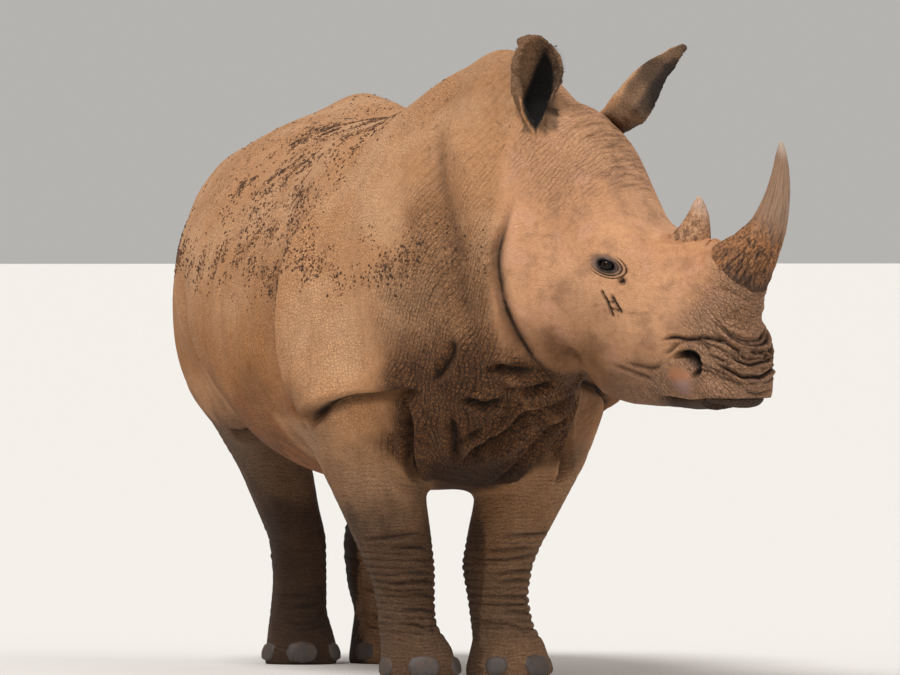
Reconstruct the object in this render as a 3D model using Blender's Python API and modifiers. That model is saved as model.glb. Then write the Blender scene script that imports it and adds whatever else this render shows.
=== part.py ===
"""A southern white rhinoceros, a young adult, standing still with its head turned to its left, life size.

Metres, +Z up, +X the way the body faces, +Y the animal's left. The flesh is modelled whole from lofts
and muscle masses, fused into one surface, and then parted into its named pieces by thin cuts.
The last step moves everything so that the origin lies on the floor under the middle of the animal.
"""

import math

import bmesh
import bpy
import numpy as np
from mathutils import Matrix, Vector

# Driving dimensions ---------------------------------------------------------------------------------
GAP = 0.0003  # clearance between neighbouring pieces
WHEELBASE = 1.48  # front feet to hind feet
FRONT = WHEELBASE / 2  # X of the front feet
HIND = -WHEELBASE / 2  # X of the hind feet
WITHERS = 1.66  # height over the shoulder blades
EYE_HEIGHT = 1.154
EYE_RADIUS = 0.021
EYE_SPREAD = 0.170  # each eye's centre from the middle of the head
EYE_BACK = 0.012  # the eyes lie this far behind the head frame's middle
HEAD_TURN = math.radians(39.5)  # to the animal's left
HEAD_PITCH = math.radians(35)  # the muzzle points this far below level
HEAD_AT = Vector((FRONT + 0.686, 0.36, EYE_HEIGHT))  # between the eyes
EAR_THICK = 0.011

VOXEL = 0.016  # of the fused flesh
SMOOTHING = 9  # rounds of smoothing after the fuse
RELAXING = 70  # more rounds, over the trunk only
BODY_TRIANGLES = 1900
HEAD_TRIANGLES = 1500
AROUND = 36  # points round a loft's ring


# Blender helpers ------------------------------------------------------------------------------------
def clear_scene():
    for obj in list(bpy.data.objects):
        bpy.data.objects.remove(obj)


def collection(name, hidden=False):
    made = bpy.data.collections.new(name)
    made.hide_render = hidden
    bpy.context.scene.collection.children.link(made)
    return made


def material(name, colour, roughness, metallic=0.0):
    made = bpy.data.materials.new(name)
    made.use_nodes = True
    shader = made.node_tree.nodes["Principled BSDF"]
    shader.inputs["Base Color"].default_value = (*colour, 1.0)
    shader.inputs["Roughness"].default_value = roughness
    shader.inputs["Metallic"].default_value = metallic
    return made


def object_from(bm, name, group):
    mesh = bpy.data.meshes.new(name)
    bm.to_mesh(mesh)
    bm.free()
    made = bpy.data.objects.new(name, mesh)
    group.objects.link(made)
    return made


def baked(obj):
    """Applies the object's modifiers to its mesh."""
    bpy.context.view_layer.update()
    graph = bpy.context.evaluated_depsgraph_get()
    mesh = bpy.data.meshes.new_from_object(obj.evaluated_get(graph))
    obj.modifiers.clear()
    old, obj.data = obj.data, mesh
    bpy.data.meshes.remove(old)
    return obj


def boolean(obj, other, operation):
    step = obj.modifiers.new(operation.title(), "BOOLEAN")
    step.operation = operation
    step.object = other
    return baked(obj)


def copy_of(obj, name, group):
    made = bpy.data.objects.new(name, obj.data.copy())
    group.objects.link(made)
    return made


def grown(obj, by, name, group):
    """A copy whose surface lies a little further out, to cut a neighbour with clearance."""
    made = copy_of(obj, name, group)
    mesh = made.data
    for vertex, normal in zip(mesh.vertices, [v.normal.copy() for v in mesh.vertices]):
        vertex.co += normal * by
    mesh.update()
    return made


def triangles(obj):
    return sum(len(face.vertices) - 2 for face in obj.data.polygons)


# Shape helpers --------------------------------------------------------------------------------------
def smooth_through(knots):
    """A function of place that runs smoothly, without overshoot, through rows of (place, values...)."""
    table = np.array(knots, float)
    places, values = table[:, 0], table[:, 1:]
    steps = np.diff(places)[:, None]
    slopes = np.diff(values, axis=0) / steps
    tangents = np.zeros_like(values)
    same_way = slopes[:-1] * slopes[1:] > 0
    weights = steps[:-1] + steps[1:]
    with np.errstate(divide="ignore", invalid="ignore"):
        middle = 3 * weights / (
            (2 * steps[1:] + steps[:-1]) / slopes[:-1] + (steps[1:] + 2 * steps[:-1]) / slopes[1:]
        )
    tangents[1:-1] = np.where(same_way, middle, 0.0)
    tangents[0], tangents[-1] = slopes[0], slopes[-1]

    def at(place):
        i = int(np.clip(np.searchsorted(places, place) - 1, 0, len(places) - 2))
        h = places[i + 1] - places[i]
        t = float(np.clip((place - places[i]) / h, 0, 1))
        return (
            (2 * t**3 - 3 * t**2 + 1) * values[i]
            + (t**3 - 2 * t**2 + t) * h * tangents[i]
            + (3 * t**2 - 2 * t**3) * values[i + 1]
            + (t**3 - t**2) * h * tangents[i + 1]
        )

    return at


def ring(centre, out, up, half_width, above, below, crown=2.0, keel=2.0, count=AROUND):
    """A closed section: an oval whose upper and lower halves have their own height and squareness."""
    points = []
    for k in range(count):
        angle = 2 * math.pi * k / count
        side, rise = math.cos(angle), math.sin(angle)
        power, height = (crown, above) if rise >= 0 else (keel, below)
        x = half_width * math.copysign(abs(side) ** (2 / power), side)
        z = height * math.copysign(abs(rise) ** (2 / power), rise)
        points.append(centre + out * x + up * z)
    return points


def loft(name, rings, group):
    """One closed body through sections of equal count, with a flat cap at each end."""
    bm = bmesh.new()
    rows = [[bm.verts.new(p) for p in points] for points in rings]
    for lower, upper in zip(rows, rows[1:]):
        for k in range(len(lower)):
            n = (k + 1) % len(lower)
            bm.faces.new((lower[k], lower[n], upper[n], upper[k]))
    bm.faces.new(list(reversed(rows[0])))
    bm.faces.new(rows[-1])
    bmesh.ops.recalc_face_normals(bm, faces=bm.faces)
    return object_from(bm, name, group)


def mass(name, centre, radii, group, lean=0.0, tilt=0.0, fineness=4):
    """A muscle or pad: an ellipsoid, tilted about Y and then leaned about X, both in degrees."""
    bm = bmesh.new()
    place = (
        Matrix.Translation(centre)
        @ Matrix.Rotation(math.radians(lean), 4, "X")
        @ Matrix.Rotation(math.radians(tilt), 4, "Y")
        @ Matrix.Diagonal((*radii, 1.0))
    )
    bmesh.ops.create_icosphere(bm, subdivisions=fineness, radius=1.0, matrix=place)
    return object_from(bm, name, group)


def fused(name, parts, voxel, rounds):
    """The parts as one closed surface, with the joins smoothed."""
    whole = parts[0]
    with bpy.context.temp_override(
        active_object=whole, selected_editable_objects=parts, object=whole, selected_objects=parts
    ):
        bpy.ops.object.join()
    whole.name = name
    remesh = whole.modifiers.new("Fuse", "REMESH")
    remesh.mode = "VOXEL"
    remesh.voxel_size = voxel
    smooth = whole.modifiers.new("Smooth", "SMOOTH")
    smooth.factor = 0.5
    smooth.iterations = rounds
    return baked(whole)


def swell(obj, bumps):
    """Raises (or sinks) the surface along its normals round each (centre, radius, height)."""
    mesh = obj.data
    count = len(mesh.vertices)
    places, normals = np.empty(count * 3), np.empty(count * 3)
    mesh.vertices.foreach_get("co", places)
    mesh.vertices.foreach_get("normal", normals)
    places, normals = places.reshape(-1, 3), normals.reshape(-1, 3)
    lift = np.zeros(count)
    for centre, radius, height in bumps:
        away = ((places - np.array(centre)) ** 2).sum(axis=1) / radius**2
        lift += height * np.exp(-away)
    mesh.vertices.foreach_set("co", (places + normals * lift[:, None]).ravel())
    mesh.update()


# The torso and neck ---------------------------------------------------------------------------------
# X, Y, heading in degrees, top, bottom, height of the widest line, half width, squareness above and below.
SPINE = smooth_through(
    [
        (0.00, HIND - 0.41, 0.000, 0, 1.20, 1.02, 1.11, 0.04, 2.0, 2.0),
        (0.02, HIND - 0.39, 0.000, 0, 1.30, 0.93, 1.11, 0.16, 2.0, 2.0),
        (0.06, HIND - 0.35, 0.000, 0, 1.38, 0.87, 1.11, 0.25, 2.0, 2.0),
        (0.12, HIND - 0.28, 0.000, 0, 1.45, 0.82, 1.11, 0.345, 2.0, 2.1),
        (0.23, HIND - 0.16, 0.000, 0, 1.52, 0.78, 1.09, 0.44, 2.0, 2.2),
        (0.39, HIND + 0.00, 0.000, 0, 1.575, 0.735, 1.08, 0.505, 2.0, 2.2),
        (0.57, HIND + 0.18, 0.000, 0, 1.610, 0.69, 1.07, 0.550, 2.05, 2.1),
        (0.75, HIND + 0.36, 0.000, 0, 1.615, 0.64, 1.08, 0.575, 2.05, 2.05),
        (1.00, HIND + 0.61, 0.000, 0, 1.595, 0.565, 1.06, 0.597, 1.95, 2.05),
        (1.25, HIND + 0.86, 0.000, 0, 1.585, 0.525, 1.02, 0.595, 1.9, 2.3),
        (1.50, FRONT - 0.37, 0.000, 0, 1.600, 0.52, 1.02, 0.560, 1.85, 2.2),
        (1.69, FRONT - 0.18, 0.000, 0, 1.625, 0.525, 1.04, 0.510, 1.8, 2.1),
        (1.87, FRONT + 0.00, 0.000, 0, WITHERS, 0.53, 1.08, 0.460, 1.75, 2.0),
        (2.03, FRONT + 0.16, 0.005, 6, 1.725, 0.545, 1.10, 0.408, 1.7, 1.95),
        (2.16, FRONT + 0.28, 0.030, 16, 1.752, 0.60, 1.12, 0.345, 1.7, 2.0),
        (2.28, FRONT + 0.385, 0.080, 26, 1.735, 0.70, 1.15, 0.285, 1.8, 2.2),
        (2.40, FRONT + 0.485, 0.145, 35, 1.665, 0.82, 1.20, 0.215, 1.9, 2.1),
        (2.51, FRONT + 0.565, 0.205, 39.5, 1.57, 0.93, 1.24, 0.160, 2.0, 2.0),
    ]
)
SPINE_LENGTH = 2.51


def torso_rings(count=56):
    rings = []
    for share in np.linspace(0, 1, count):
        eased = share - 0.9 * math.sin(2 * math.pi * share) / (2 * math.pi) * (share < 0.5)
        x, y, heading, top, bottom, widest, half, crown, keel = SPINE(eased * SPINE_LENGTH)
        turn = math.radians(heading)
        out = Vector((-math.sin(turn), math.cos(turn), 0))
        centre = Vector((x, y, widest))
        rings.append(ring(centre, out, Vector((0, 0, 1)), half, top - widest, widest - bottom, crown, keel))
    return rings


# The head -------------------------------------------------------------------------------------------
# In the head's own frame the axis runs down the muzzle, `side` to the animal's left, `crown` up and back.
HEAD_FRAME = (
    Matrix.Translation(HEAD_AT) @ Matrix.Rotation(HEAD_TURN, 4, "Z") @ Matrix.Rotation(HEAD_PITCH, 4, "Y")
)

# Along the axis from the eyes, top, bottom, widest line, half width, upper and lower squareness.
HEAD = smooth_through(
    [
        (-0.50, 0.20, -0.10, 0.06, 0.11, 2.0, 2.0),
        (-0.43, 0.248, -0.19, 0.08, 0.155, 2.2, 2.0),
        (-0.30, 0.232, -0.25, 0.06, 0.178, 2.3, 2.0),
        (-0.18, 0.172, -0.285, 0.03, 0.186, 2.2, 2.0),
        (-0.06, 0.112, -0.315, 0.00, 0.186, 2.4, 1.9),
        (0.03, 0.108, -0.325, -0.02, 0.178, 2.5, 1.9),
        (0.12, 0.138, -0.315, -0.04, 0.156, 2.2, 1.9),
        (0.22, 0.170, -0.28, -0.05, 0.138, 2.2, 2.0),
        (0.31, 0.168, -0.240, -0.05, 0.126, 2.3, 2.2),
        (0.38, 0.108, -0.205, -0.06, 0.128, 2.6, 2.6),
        (0.43, 0.032, -0.172, -0.07, 0.128, 3.0, 2.8),
        (0.475, -0.035, -0.145, -0.09, 0.118, 3.2, 2.8),
        (0.505, -0.085, -0.122, -0.10, 0.080, 2.6, 2.4),
    ]
)
HEAD_ENDS = (-0.50, 0.505)


def head_point(along, side, crown):
    return HEAD_FRAME @ Vector((along, side, crown))


def head_rings(count=30):
    rings = []
    rotation = HEAD_FRAME.to_3x3()
    out, up = rotation @ Vector((0, 1, 0)), rotation @ Vector((0, 0, 1))
    for along in np.linspace(*HEAD_ENDS, count):
        top, bottom, widest, half, crown, keel = HEAD(along)
        rings.append(
            ring(head_point(along, 0, widest), out, up, half, top - widest, widest - bottom, crown, keel)
        )
    return rings


# Legs -----------------------------------------------------------------------------------------------
# Height, forward of the foot, sideways from the middle, half length, half width.
def front_leg(reach):
    """The front leg's stations. `reach` is how far the wrist and the elbow stand from the middle."""
    wrist, elbow = reach
    return smooth_through(
        [
            (-0.04, 0.00, 0.130, 0.128, 0.108),
            (0.03, 0.00, 0.130, 0.130, 0.110),
            (0.09, -0.005, 0.134, 0.112, 0.098),
            (0.15, -0.015, (0.140 + wrist) / 2, 0.097, 0.085),
            (0.21, -0.015, (0.130 + 2 * wrist) / 3, 0.096, 0.083),
            (0.30, 0.000, wrist, 0.112, 0.096),
            (0.38, 0.000, wrist + 0.022, 0.120, 0.110),
            (0.50, -0.020, (wrist + elbow) / 2 + 0.005, 0.150, 0.126),
            (0.64, -0.050, elbow, 0.190, 0.142),
            (0.80, -0.085, elbow + 0.02, 0.235, 0.155),
            (1.00, -0.085, elbow + 0.02, 0.250, 0.150),
        ]
    )


def hind_leg(hock):
    return smooth_through(
        [
            (-0.04, 0.005, 0.128, 0.128, 0.106),
            (0.03, 0.005, 0.128, 0.130, 0.108),
            (0.09, -0.015, 0.128, 0.110, 0.096),
            (0.16, -0.040, 0.126, 0.091, 0.084),
            (0.24, -0.052, hock, 0.094, 0.080),
            (0.34, -0.070, hock, 0.108, 0.083),
            (0.44, -0.072, hock + 0.03, 0.126, 0.090),
            (0.56, -0.055, hock + 0.07, 0.168, 0.102),
            (0.70, -0.030, hock + 0.12, 0.260, 0.135),
            (0.86, -0.020, hock + 0.16, 0.330, 0.165),
            (1.05, -0.020, hock + 0.14, 0.330, 0.170),
        ]
    )


# Name, X of the foot, side (+1 left), stations, the foot's turn to the left.
LEGS = (
    ("front_left", FRONT, 1, front_leg((0.095, 0.235)), math.radians(28)),
    ("front_right", FRONT, -1, front_leg((0.178, 0.275)), math.radians(-6)),
    ("hind_left", HIND, 1, hind_leg(0.100), math.radians(10)),
    ("hind_right", HIND, -1, hind_leg(0.118), math.radians(-12)),
)
SHOULDERS = ((-1, -0.312), (1, 0.262))  # side, sideways; the left one is drawn in by the turned neck
LEG_TOPS = {"front": 1.00, "hind": 1.05}


def leg_rings(x_foot, side, stations, turn, top, count=30):
    rings = []
    for z in np.linspace(-0.04, top, count):
        forward, sideways, half_length, half_width = stations(z)
        twist = turn * float(np.clip(1 - z / 0.5, 0, 1))
        ahead = Vector((math.cos(twist), math.sin(twist), 0))
        out = Vector((-math.sin(twist), math.cos(twist), 0))
        centre = Vector((x_foot + forward, side * sideways, z))
        rings.append(ring(centre, ahead, out, half_length, half_width, half_width, 2.2, 2.2))
    return rings


def head_mass(name, centre, radii, group, fineness=4):
    """A mass whose centre and radii are given in the head's own frame."""
    bm = bmesh.new()
    place = HEAD_FRAME @ Matrix.Translation(centre) @ Matrix.Diagonal((*radii, 1.0))
    bmesh.ops.create_icosphere(bm, subdivisions=fineness, radius=1.0, matrix=place)
    return object_from(bm, name, group)


def flesh_parts(group):
    parts = [loft("torso_loft", torso_rings(), group), loft("head_loft", head_rings(), group)]
    for name, x_foot, side, stations, turn in LEGS:
        top = LEG_TOPS[name.split("_")[0]]
        parts.append(loft(f"{name}_loft", leg_rings(x_foot, side, stations, turn, top), group))
    for side, shoulder in SHOULDERS:
        parts += [
            mass("shoulder", (FRONT - 0.10, shoulder, 1.09), (0.30, 0.180, 0.47), group, side * 7, -16),
            mass(
                "upper_arm", (FRONT - 0.14, shoulder + side * 0.025, 0.87), (0.24, 0.150, 0.25), group, side * 2, 20
            ),
            mass("haunch", (HIND + 0.00, side * 0.29, 1.10), (0.38, 0.205, 0.42), group, side * 6, 8),
            mass("stifle", (HIND + 0.15, side * 0.305, 0.86), (0.21, 0.125, 0.24), group, side * 4, 0),
        ]
        parts += [
            head_mass("brow", (-0.015, side * 0.128, 0.045), (0.085, 0.055, 0.060), group),
            head_mass("cheek", (-0.14, side * 0.128, -0.13), (0.18, 0.078, 0.16), group),
            head_mass("nostril_wing", (0.385, side * 0.105, -0.085), (0.055, 0.042, 0.065), group),
            head_mass("upper_lip", (0.43, side * 0.075, -0.085), (0.070, 0.062, 0.045), group),
        ]
    parts.append(mass("croup", (HIND + 0.36, 0, 1.50), (0.46, 0.12, 0.160), group))
    return parts


def torso_share(places):
    """How strongly each point is relaxed: fully over the trunk, not at all over the legs and head."""
    x, z = places[:, 0], places[:, 2]
    low = np.clip((z - 0.50) / 0.25, 0, 1)
    behind = np.clip((FRONT + 0.42 - x) / 0.20, 0, 1)
    return low * behind


def head_share(places):
    """One on the head and one handbreadth of the neck, nought elsewhere."""
    return ((places[:, 0] > FRONT + 0.46) & (places[:, 2] > 0.80)).astype(float)


def weighted(obj, share):
    """Puts the share of each point in a vertex group, for a modifier to follow."""
    count = len(obj.data.vertices)
    places = np.empty(count * 3)
    obj.data.vertices.foreach_get("co", places)
    weights = share(places.reshape(-1, 3))
    group = obj.vertex_groups.new(name="share")
    for index, weight in enumerate(weights):
        group.add([index], float(weight), "REPLACE")
    return group.name, weights


def relaxed(obj, share, rounds):
    step = obj.modifiers.new("Relax", "SMOOTH")
    step.factor = 0.5
    step.iterations = rounds
    step.vertex_group, _ = weighted(obj, share)
    baked(obj)
    obj.vertex_groups.clear()


def thinned(obj, share, target):
    """Thins the shared part of the surface to a number of triangles and leaves the rest as it is."""
    step = obj.modifiers.new("Thin", "DECIMATE")
    step.vertex_group, weights = weighted(obj, share)
    counts = [len(f.vertices) - 2 for f in obj.data.polygons if weights[f.vertices[0]] > 0.5]
    step.ratio = 1 - (sum(counts) - target) / triangles(obj)
    baked(obj)
    obj.vertex_groups.clear()


# Horns ----------------------------------------------------------------------------------------------
# Both stand in the head's middle plane: share of the way, along, crown, half length, half width.
FRONT_HORN = smooth_through(
    [
        (0.00, 0.250, 0.110, 0.104, 0.090),
        (0.14, 0.260, 0.178, 0.098, 0.085),
        (0.27, 0.272, 0.240, 0.077, 0.069),
        (0.42, 0.275, 0.312, 0.057, 0.053),
        (0.62, 0.257, 0.398, 0.040, 0.040),
        (0.82, 0.221, 0.478, 0.025, 0.025),
        (0.95, 0.186, 0.531, 0.013, 0.013),
        (1.00, 0.173, 0.550, 0.005, 0.005),
    ]
)
REAR_HORN = smooth_through(
    [
        (0.00, 0.079, 0.085, 0.061, 0.054),
        (0.30, 0.081, 0.148, 0.056, 0.047),
        (0.60, 0.068, 0.202, 0.040, 0.033),
        (0.85, 0.046, 0.243, 0.021, 0.019),
        (1.00, 0.031, 0.264, 0.006, 0.006),
    ]
)


def horn(name, stations, group, count, around=14):
    rotation = HEAD_FRAME.to_3x3()
    out = rotation @ Vector((0, 1, 0))
    rings = []
    for share in np.linspace(0, 1, count):
        along, crown, half_length, half_width = stations(share)
        before, after = stations(max(0, share - 0.02)), stations(min(1, share + 0.02))
        tangent = Vector((after[0] - before[0], 0, after[1] - before[1])).normalized()
        ahead = rotation @ Vector((tangent.z, 0, -tangent.x))
        centre = head_point(along, 0, crown)
        rings.append(ring(centre, ahead, out, half_length, half_width, half_width, count=around))
    return loft(name, rings, group)


# Ears -----------------------------------------------------------------------------------------------
# Share of the length, half width, depth of the cup, half of its arc in degrees.
EAR = smooth_through(
    [
        (0.00, 0.036, 0.038, 165),
        (0.15, 0.048, 0.048, 150),
        (0.32, 0.064, 0.056, 128),
        (0.50, 0.076, 0.056, 112),
        (0.68, 0.074, 0.046, 100),
        (0.84, 0.058, 0.034, 92),
        (0.95, 0.036, 0.022, 85),
        (1.00, 0.018, 0.014, 80),
    ]
)


# Each ear's root in the head's frame, then its reach to the tip, the way its mouth looks, and its curl.
EARS = {
    "ear_right": ((-0.42, -0.135, 0.145), (-0.005, -0.020, 0.285), (0.97, -0.23, 0.00), 0.020),
    "ear_left": ((-0.43, 0.120, 0.190), (0.055, 0.228, 0.215), (-0.18, 0.76, -0.50), 0.000),
}


def ear(name, group, count=9, around=9):
    """A cup from root to tip whose curl bends the tip towards the mouth."""
    place, reach, opening, curl = EARS[name]
    root, opening = head_point(*place), Vector(opening)
    tip = root + Vector(reach)
    axis = (tip - root).normalized()
    mouth = (opening - axis * opening.dot(axis)).normalized()
    out = axis.cross(mouth)
    rings = []
    for share in np.linspace(0, 1, count):
        half, depth, arc = EAR(share)
        centre = root + (tip - root) * share + mouth * curl * share**2
        outer, inner = [], []
        for k in range(around):
            angle = math.radians(arc) * (2 * k / (around - 1) - 1)
            side, back = math.sin(angle), math.cos(angle)
            outer.append(centre + out * half * side - mouth * depth * back)
            inner.append(centre + out * (half - EAR_THICK) * side - mouth * (depth - EAR_THICK) * back)
        rings.append(outer + list(reversed(inner)))
    return loft(name, rings, group)


# Tail -----------------------------------------------------------------------------------------------
# Share of the way, X, Z, half length, half width.
TAIL = smooth_through(
    [
        (0.00, HIND - 0.30, 1.400, 0.050, 0.055),
        (0.16, HIND - 0.41, 1.330, 0.036, 0.042),
        (0.30, HIND - 0.455, 1.240, 0.028, 0.034),
        (0.55, HIND - 0.470, 1.070, 0.021, 0.026),
        (0.80, HIND - 0.466, 0.900, 0.017, 0.021),
        (1.00, HIND - 0.458, 0.765, 0.013, 0.019),
    ]
)
TUFT = smooth_through(
    [
        (0.00, HIND - 0.464, 0.880, 0.019, 0.024),
        (0.25, HIND - 0.463, 0.830, 0.026, 0.036),
        (0.60, HIND - 0.460, 0.755, 0.024, 0.040),
        (0.90, HIND - 0.456, 0.695, 0.014, 0.026),
        (1.00, HIND - 0.455, 0.675, 0.005, 0.010),
    ]
)


def hanging(name, stations, group, count, around=12):
    rings = []
    for share in np.linspace(0, 1, count):
        x, z, half_length, half_width = stations(share)
        before, after = stations(max(0, share - 0.02)), stations(min(1, share + 0.02))
        tangent = Vector((after[0] - before[0], 0, after[1] - before[1])).normalized()
        ahead = Vector((-tangent.z, 0, tangent.x))
        out = Vector((0, 1, 0))
        rings.append(ring(Vector((x, 0, z)), out, ahead, half_width, half_length, half_length, count=around))
    return loft(name, rings, group)


# Parting --------------------------------------------------------------------------------------------
def prism(name, outline, axis, start, end, group, frame=Matrix.Identity(4)):
    """A cutter: an outline in two of the frame's axes, drawn out along the third."""
    bm = bmesh.new()
    rows = []
    for along in (start, end):
        row = []
        for a, b in outline:
            place = [a, b]
            place.insert("XYZ".index(axis), along)
            row.append(bm.verts.new(frame @ Vector(place)))
        rows.append(row)
    bm.faces.new(rows[0])
    bm.faces.new(list(reversed(rows[1])))
    for k in range(len(outline)):
        n = (k + 1) % len(outline)
        bm.faces.new((rows[0][k], rows[1][k], rows[1][n], rows[0][n]))
    bmesh.ops.recalc_face_normals(bm, faces=bm.faces)
    cutter = object_from(bm, name, group)
    cutter.display_type = "WIRE"
    cutter.hide_render = True
    return cutter


def parted(flesh, name, cutter, group):
    """Takes what lies inside the cutter as a new piece and leaves the rest, a gap apart."""
    piece = copy_of(flesh, name, group)
    boolean(piece, cutter(0), "INTERSECT")
    boolean(flesh, cutter(GAP), "DIFFERENCE")
    return piece


def largest_island(obj):
    """Drops any crumbs that the cuts left loose and keeps the largest connected body."""
    bm = bmesh.new()
    bm.from_mesh(obj.data)
    left, bodies = set(bm.verts), []
    while left:
        stack, body = [left.pop()], []
        while stack:
            vertex = stack.pop()
            body.append(vertex)
            for edge in vertex.link_edges:
                other = edge.other_vert(vertex)
                if other in left:
                    left.remove(other)
                    stack.append(other)
        bodies.append(body)
    bodies.sort(key=len)
    for body in bodies[:-1]:
        size = [max(v.co[i] for v in body) - min(v.co[i] for v in body) for i in range(3)]
        print("crumb off", obj.name, len(body), [round(x, 3) for x in size], body[0].co)
        bmesh.ops.delete(bm, geom=body, context="VERTS")
    bm.to_mesh(obj.data)
    bm.free()


# Leg pieces: X range, how far past the middle line the cut reaches, the cut's height there and at OUTSIDE.
OUTSIDE = 0.70
LEG_CUTS = {
    "front_left": (FRONT - 0.36, FRONT + 0.26, 1, 0.009, 0.50, 0.86),
    "front_right": (FRONT - 0.36, FRONT + 0.26, -1, -0.011, 0.50, 0.86),
    "hind_left": (HIND - 0.45, HIND + 0.36, 1, 0.008, 0.59, 0.98),
    "hind_right": (HIND - 0.45, HIND + 0.36, -1, -0.010, 0.59, 0.98),
}
ANKLE = 0.128  # height of the cut over each foot
HEAD_CUT = ((-0.58, 0.28), (-0.06, -0.52))  # along and crown, at the nape and under the throat
JAW_CUT = ((0.02, -0.342), (0.36, -0.190), (0.53, -0.108))  # along the line of the mouth
NECK_CUT = ((FRONT + 0.20, 1.90), (FRONT + 0.08, 0.40))  # X and Z over the withers and under the chest


def leg_cutter(name, spread, group):
    start, end, side, inner, low, high = LEG_CUTS[name]
    outline = [
        (side * (OUTSIDE + spread), -0.20),
        (side * -(inner + spread), -0.20),
        (side * -(inner + spread), low + spread * 1.2),
        (side * (OUTSIDE + spread), high + spread * 1.2),
    ]
    return prism(f"cut_{name}", outline, "X", start - spread, end + spread, group)


def head_cutter(spread, group):
    (along_top, crown_top), (along_low, crown_low) = HEAD_CUT
    outline = [
        (along_top - spread * 1.3, crown_top + 0.1),
        (along_top - spread * 1.3, crown_top),
        (along_low - spread * 1.3, crown_low),
        (along_low - spread * 1.3, crown_low - 0.05),
        (0.80, crown_low - 0.05),
        (0.80, crown_top + 0.1),
    ]
    return prism("cut_head", outline, "Y", -0.45, 0.45, group, HEAD_FRAME)


def jaw_cutter(spread, group):
    outline = [(along, crown + spread * 1.2) for along, crown in JAW_CUT]
    beyond = JAW_CUT[-1][0] + 0.1
    outline += [(beyond, JAW_CUT[-1][1] + spread * 1.2), (beyond, -0.60), (0.02, -0.60)]
    return prism("cut_jaw", outline, "Y", -0.30, 0.30, group, HEAD_FRAME)


def neck_cutter(spread, group):
    (x_top, z_top), (x_low, z_low) = NECK_CUT
    outline = [(x_top - spread, z_top), (x_low - spread, z_low), (3.0, z_low), (3.0, z_top)]
    return prism("cut_neck", outline, "Y", -1.0, 1.0, group)


def foot_cutter(spread, group):
    outline = [(-2.0, -0.3), (2.0, -0.3), (2.0, ANKLE + spread), (-2.0, ANKLE + spread)]
    return prism("cut_foot", outline, "Y", -1.0, 1.0, group)


# Nails ----------------------------------------------------------------------------------------------
NAIL_TURNS = (("inner", -58, 0.036, 0.030), ("middle", 0, 0.048, 0.034), ("outer", 58, 0.036, 0.030))
NAIL_PROFILE = ((-0.016, 0.70), (-0.002, 1.00), (0.007, 0.88), (0.011, 0.55))  # outward, size


def nails(name, foot, x_foot, side, stations, turn, group):
    """Three blunt nails, each set into the foot's surface and leaning back a little."""
    forward, sideways, _, _ = stations(0.035)
    middle = Vector((x_foot + forward, side * sideways, 0.037))
    made = []
    for word, degrees, half_width, half_height in NAIL_TURNS:
        direction = turn + math.radians(degrees * side)
        outward = Vector((math.cos(direction), math.sin(direction), 0))
        across = Vector((-outward.y, outward.x, 0))
        rise = (Vector((0, 0, 1)) - outward * 0.25).normalized()
        surface = foot.ray_cast(middle, outward)[1]
        rings = []
        for lift, size in NAIL_PROFILE:
            centre = surface + outward * lift
            wide, high = half_width * size, half_height * size
            rings.append(ring(centre, across, rise, wide, high, high, 2.4, 2.8, 8))
        made.append(loft(f"nail_{name}_{word}", rings, group))
    return made


def eyeball(name, side, group):
    bm = bmesh.new()
    place = Matrix.Translation(head_point(-EYE_BACK, side * EYE_SPREAD, 0))
    bmesh.ops.create_uvsphere(bm, u_segments=14, v_segments=9, radius=EYE_RADIUS, matrix=place)
    return object_from(bm, name, group)


def cut_by(piece, neighbour, tools):
    """Takes a neighbour's shape, a gap larger, out of the piece."""
    cutter = grown(neighbour, GAP, "grown", tools)
    boolean(piece, cutter, "DIFFERENCE")
    bpy.data.objects.remove(cutter)


# Materials ------------------------------------------------------------------------------------------
COLOURS = {
    "skin": ((0.42, 0.26, 0.155), 0.85),
    "leg_skin": ((0.17, 0.115, 0.085), 0.85),
    "ear_skin": ((0.15, 0.09, 0.06), 0.85),
    "horn": ((0.24, 0.16, 0.12), 0.7),
    "nail": ((0.16, 0.16, 0.16), 0.6),
    "eye": ((0.012, 0.008, 0.006), 0.1),
    "tail_hair": ((0.03, 0.025, 0.02), 0.8),
}
SLOT_OF = (
    ("nail_", "nail"),
    ("eye_", "eye"),
    ("horn_", "horn"),
    ("ear_", "ear_skin"),
    ("leg_", "leg_skin"),
    ("foot_", "leg_skin"),
    ("tail_tuft", "tail_hair"),
)


def painted(objects):
    made = {name: material(name, *look) for name, look in COLOURS.items()}
    for obj in objects:
        slot = next((slot for start, slot in SLOT_OF if obj.name.startswith(start)), "skin")
        obj.data.materials.clear()
        obj.data.materials.append(made[slot])


def stood_on_floor(objects):
    """Moves everything so that the origin is on the floor under the middle of the animal's extents."""
    corners = [vertex.co for obj in objects for vertex in obj.data.vertices]
    low = [min(corner[i] for corner in corners) for i in range(3)]
    high = [max(corner[i] for corner in corners) for i in range(3)]
    move = Matrix.Translation((-(low[0] + high[0]) / 2, -(low[1] + high[1]) / 2, -low[2]))
    for obj in objects:
        obj.data.transform(move)
    print("moved by", [round(value, 4) for value in move.translation])


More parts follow.
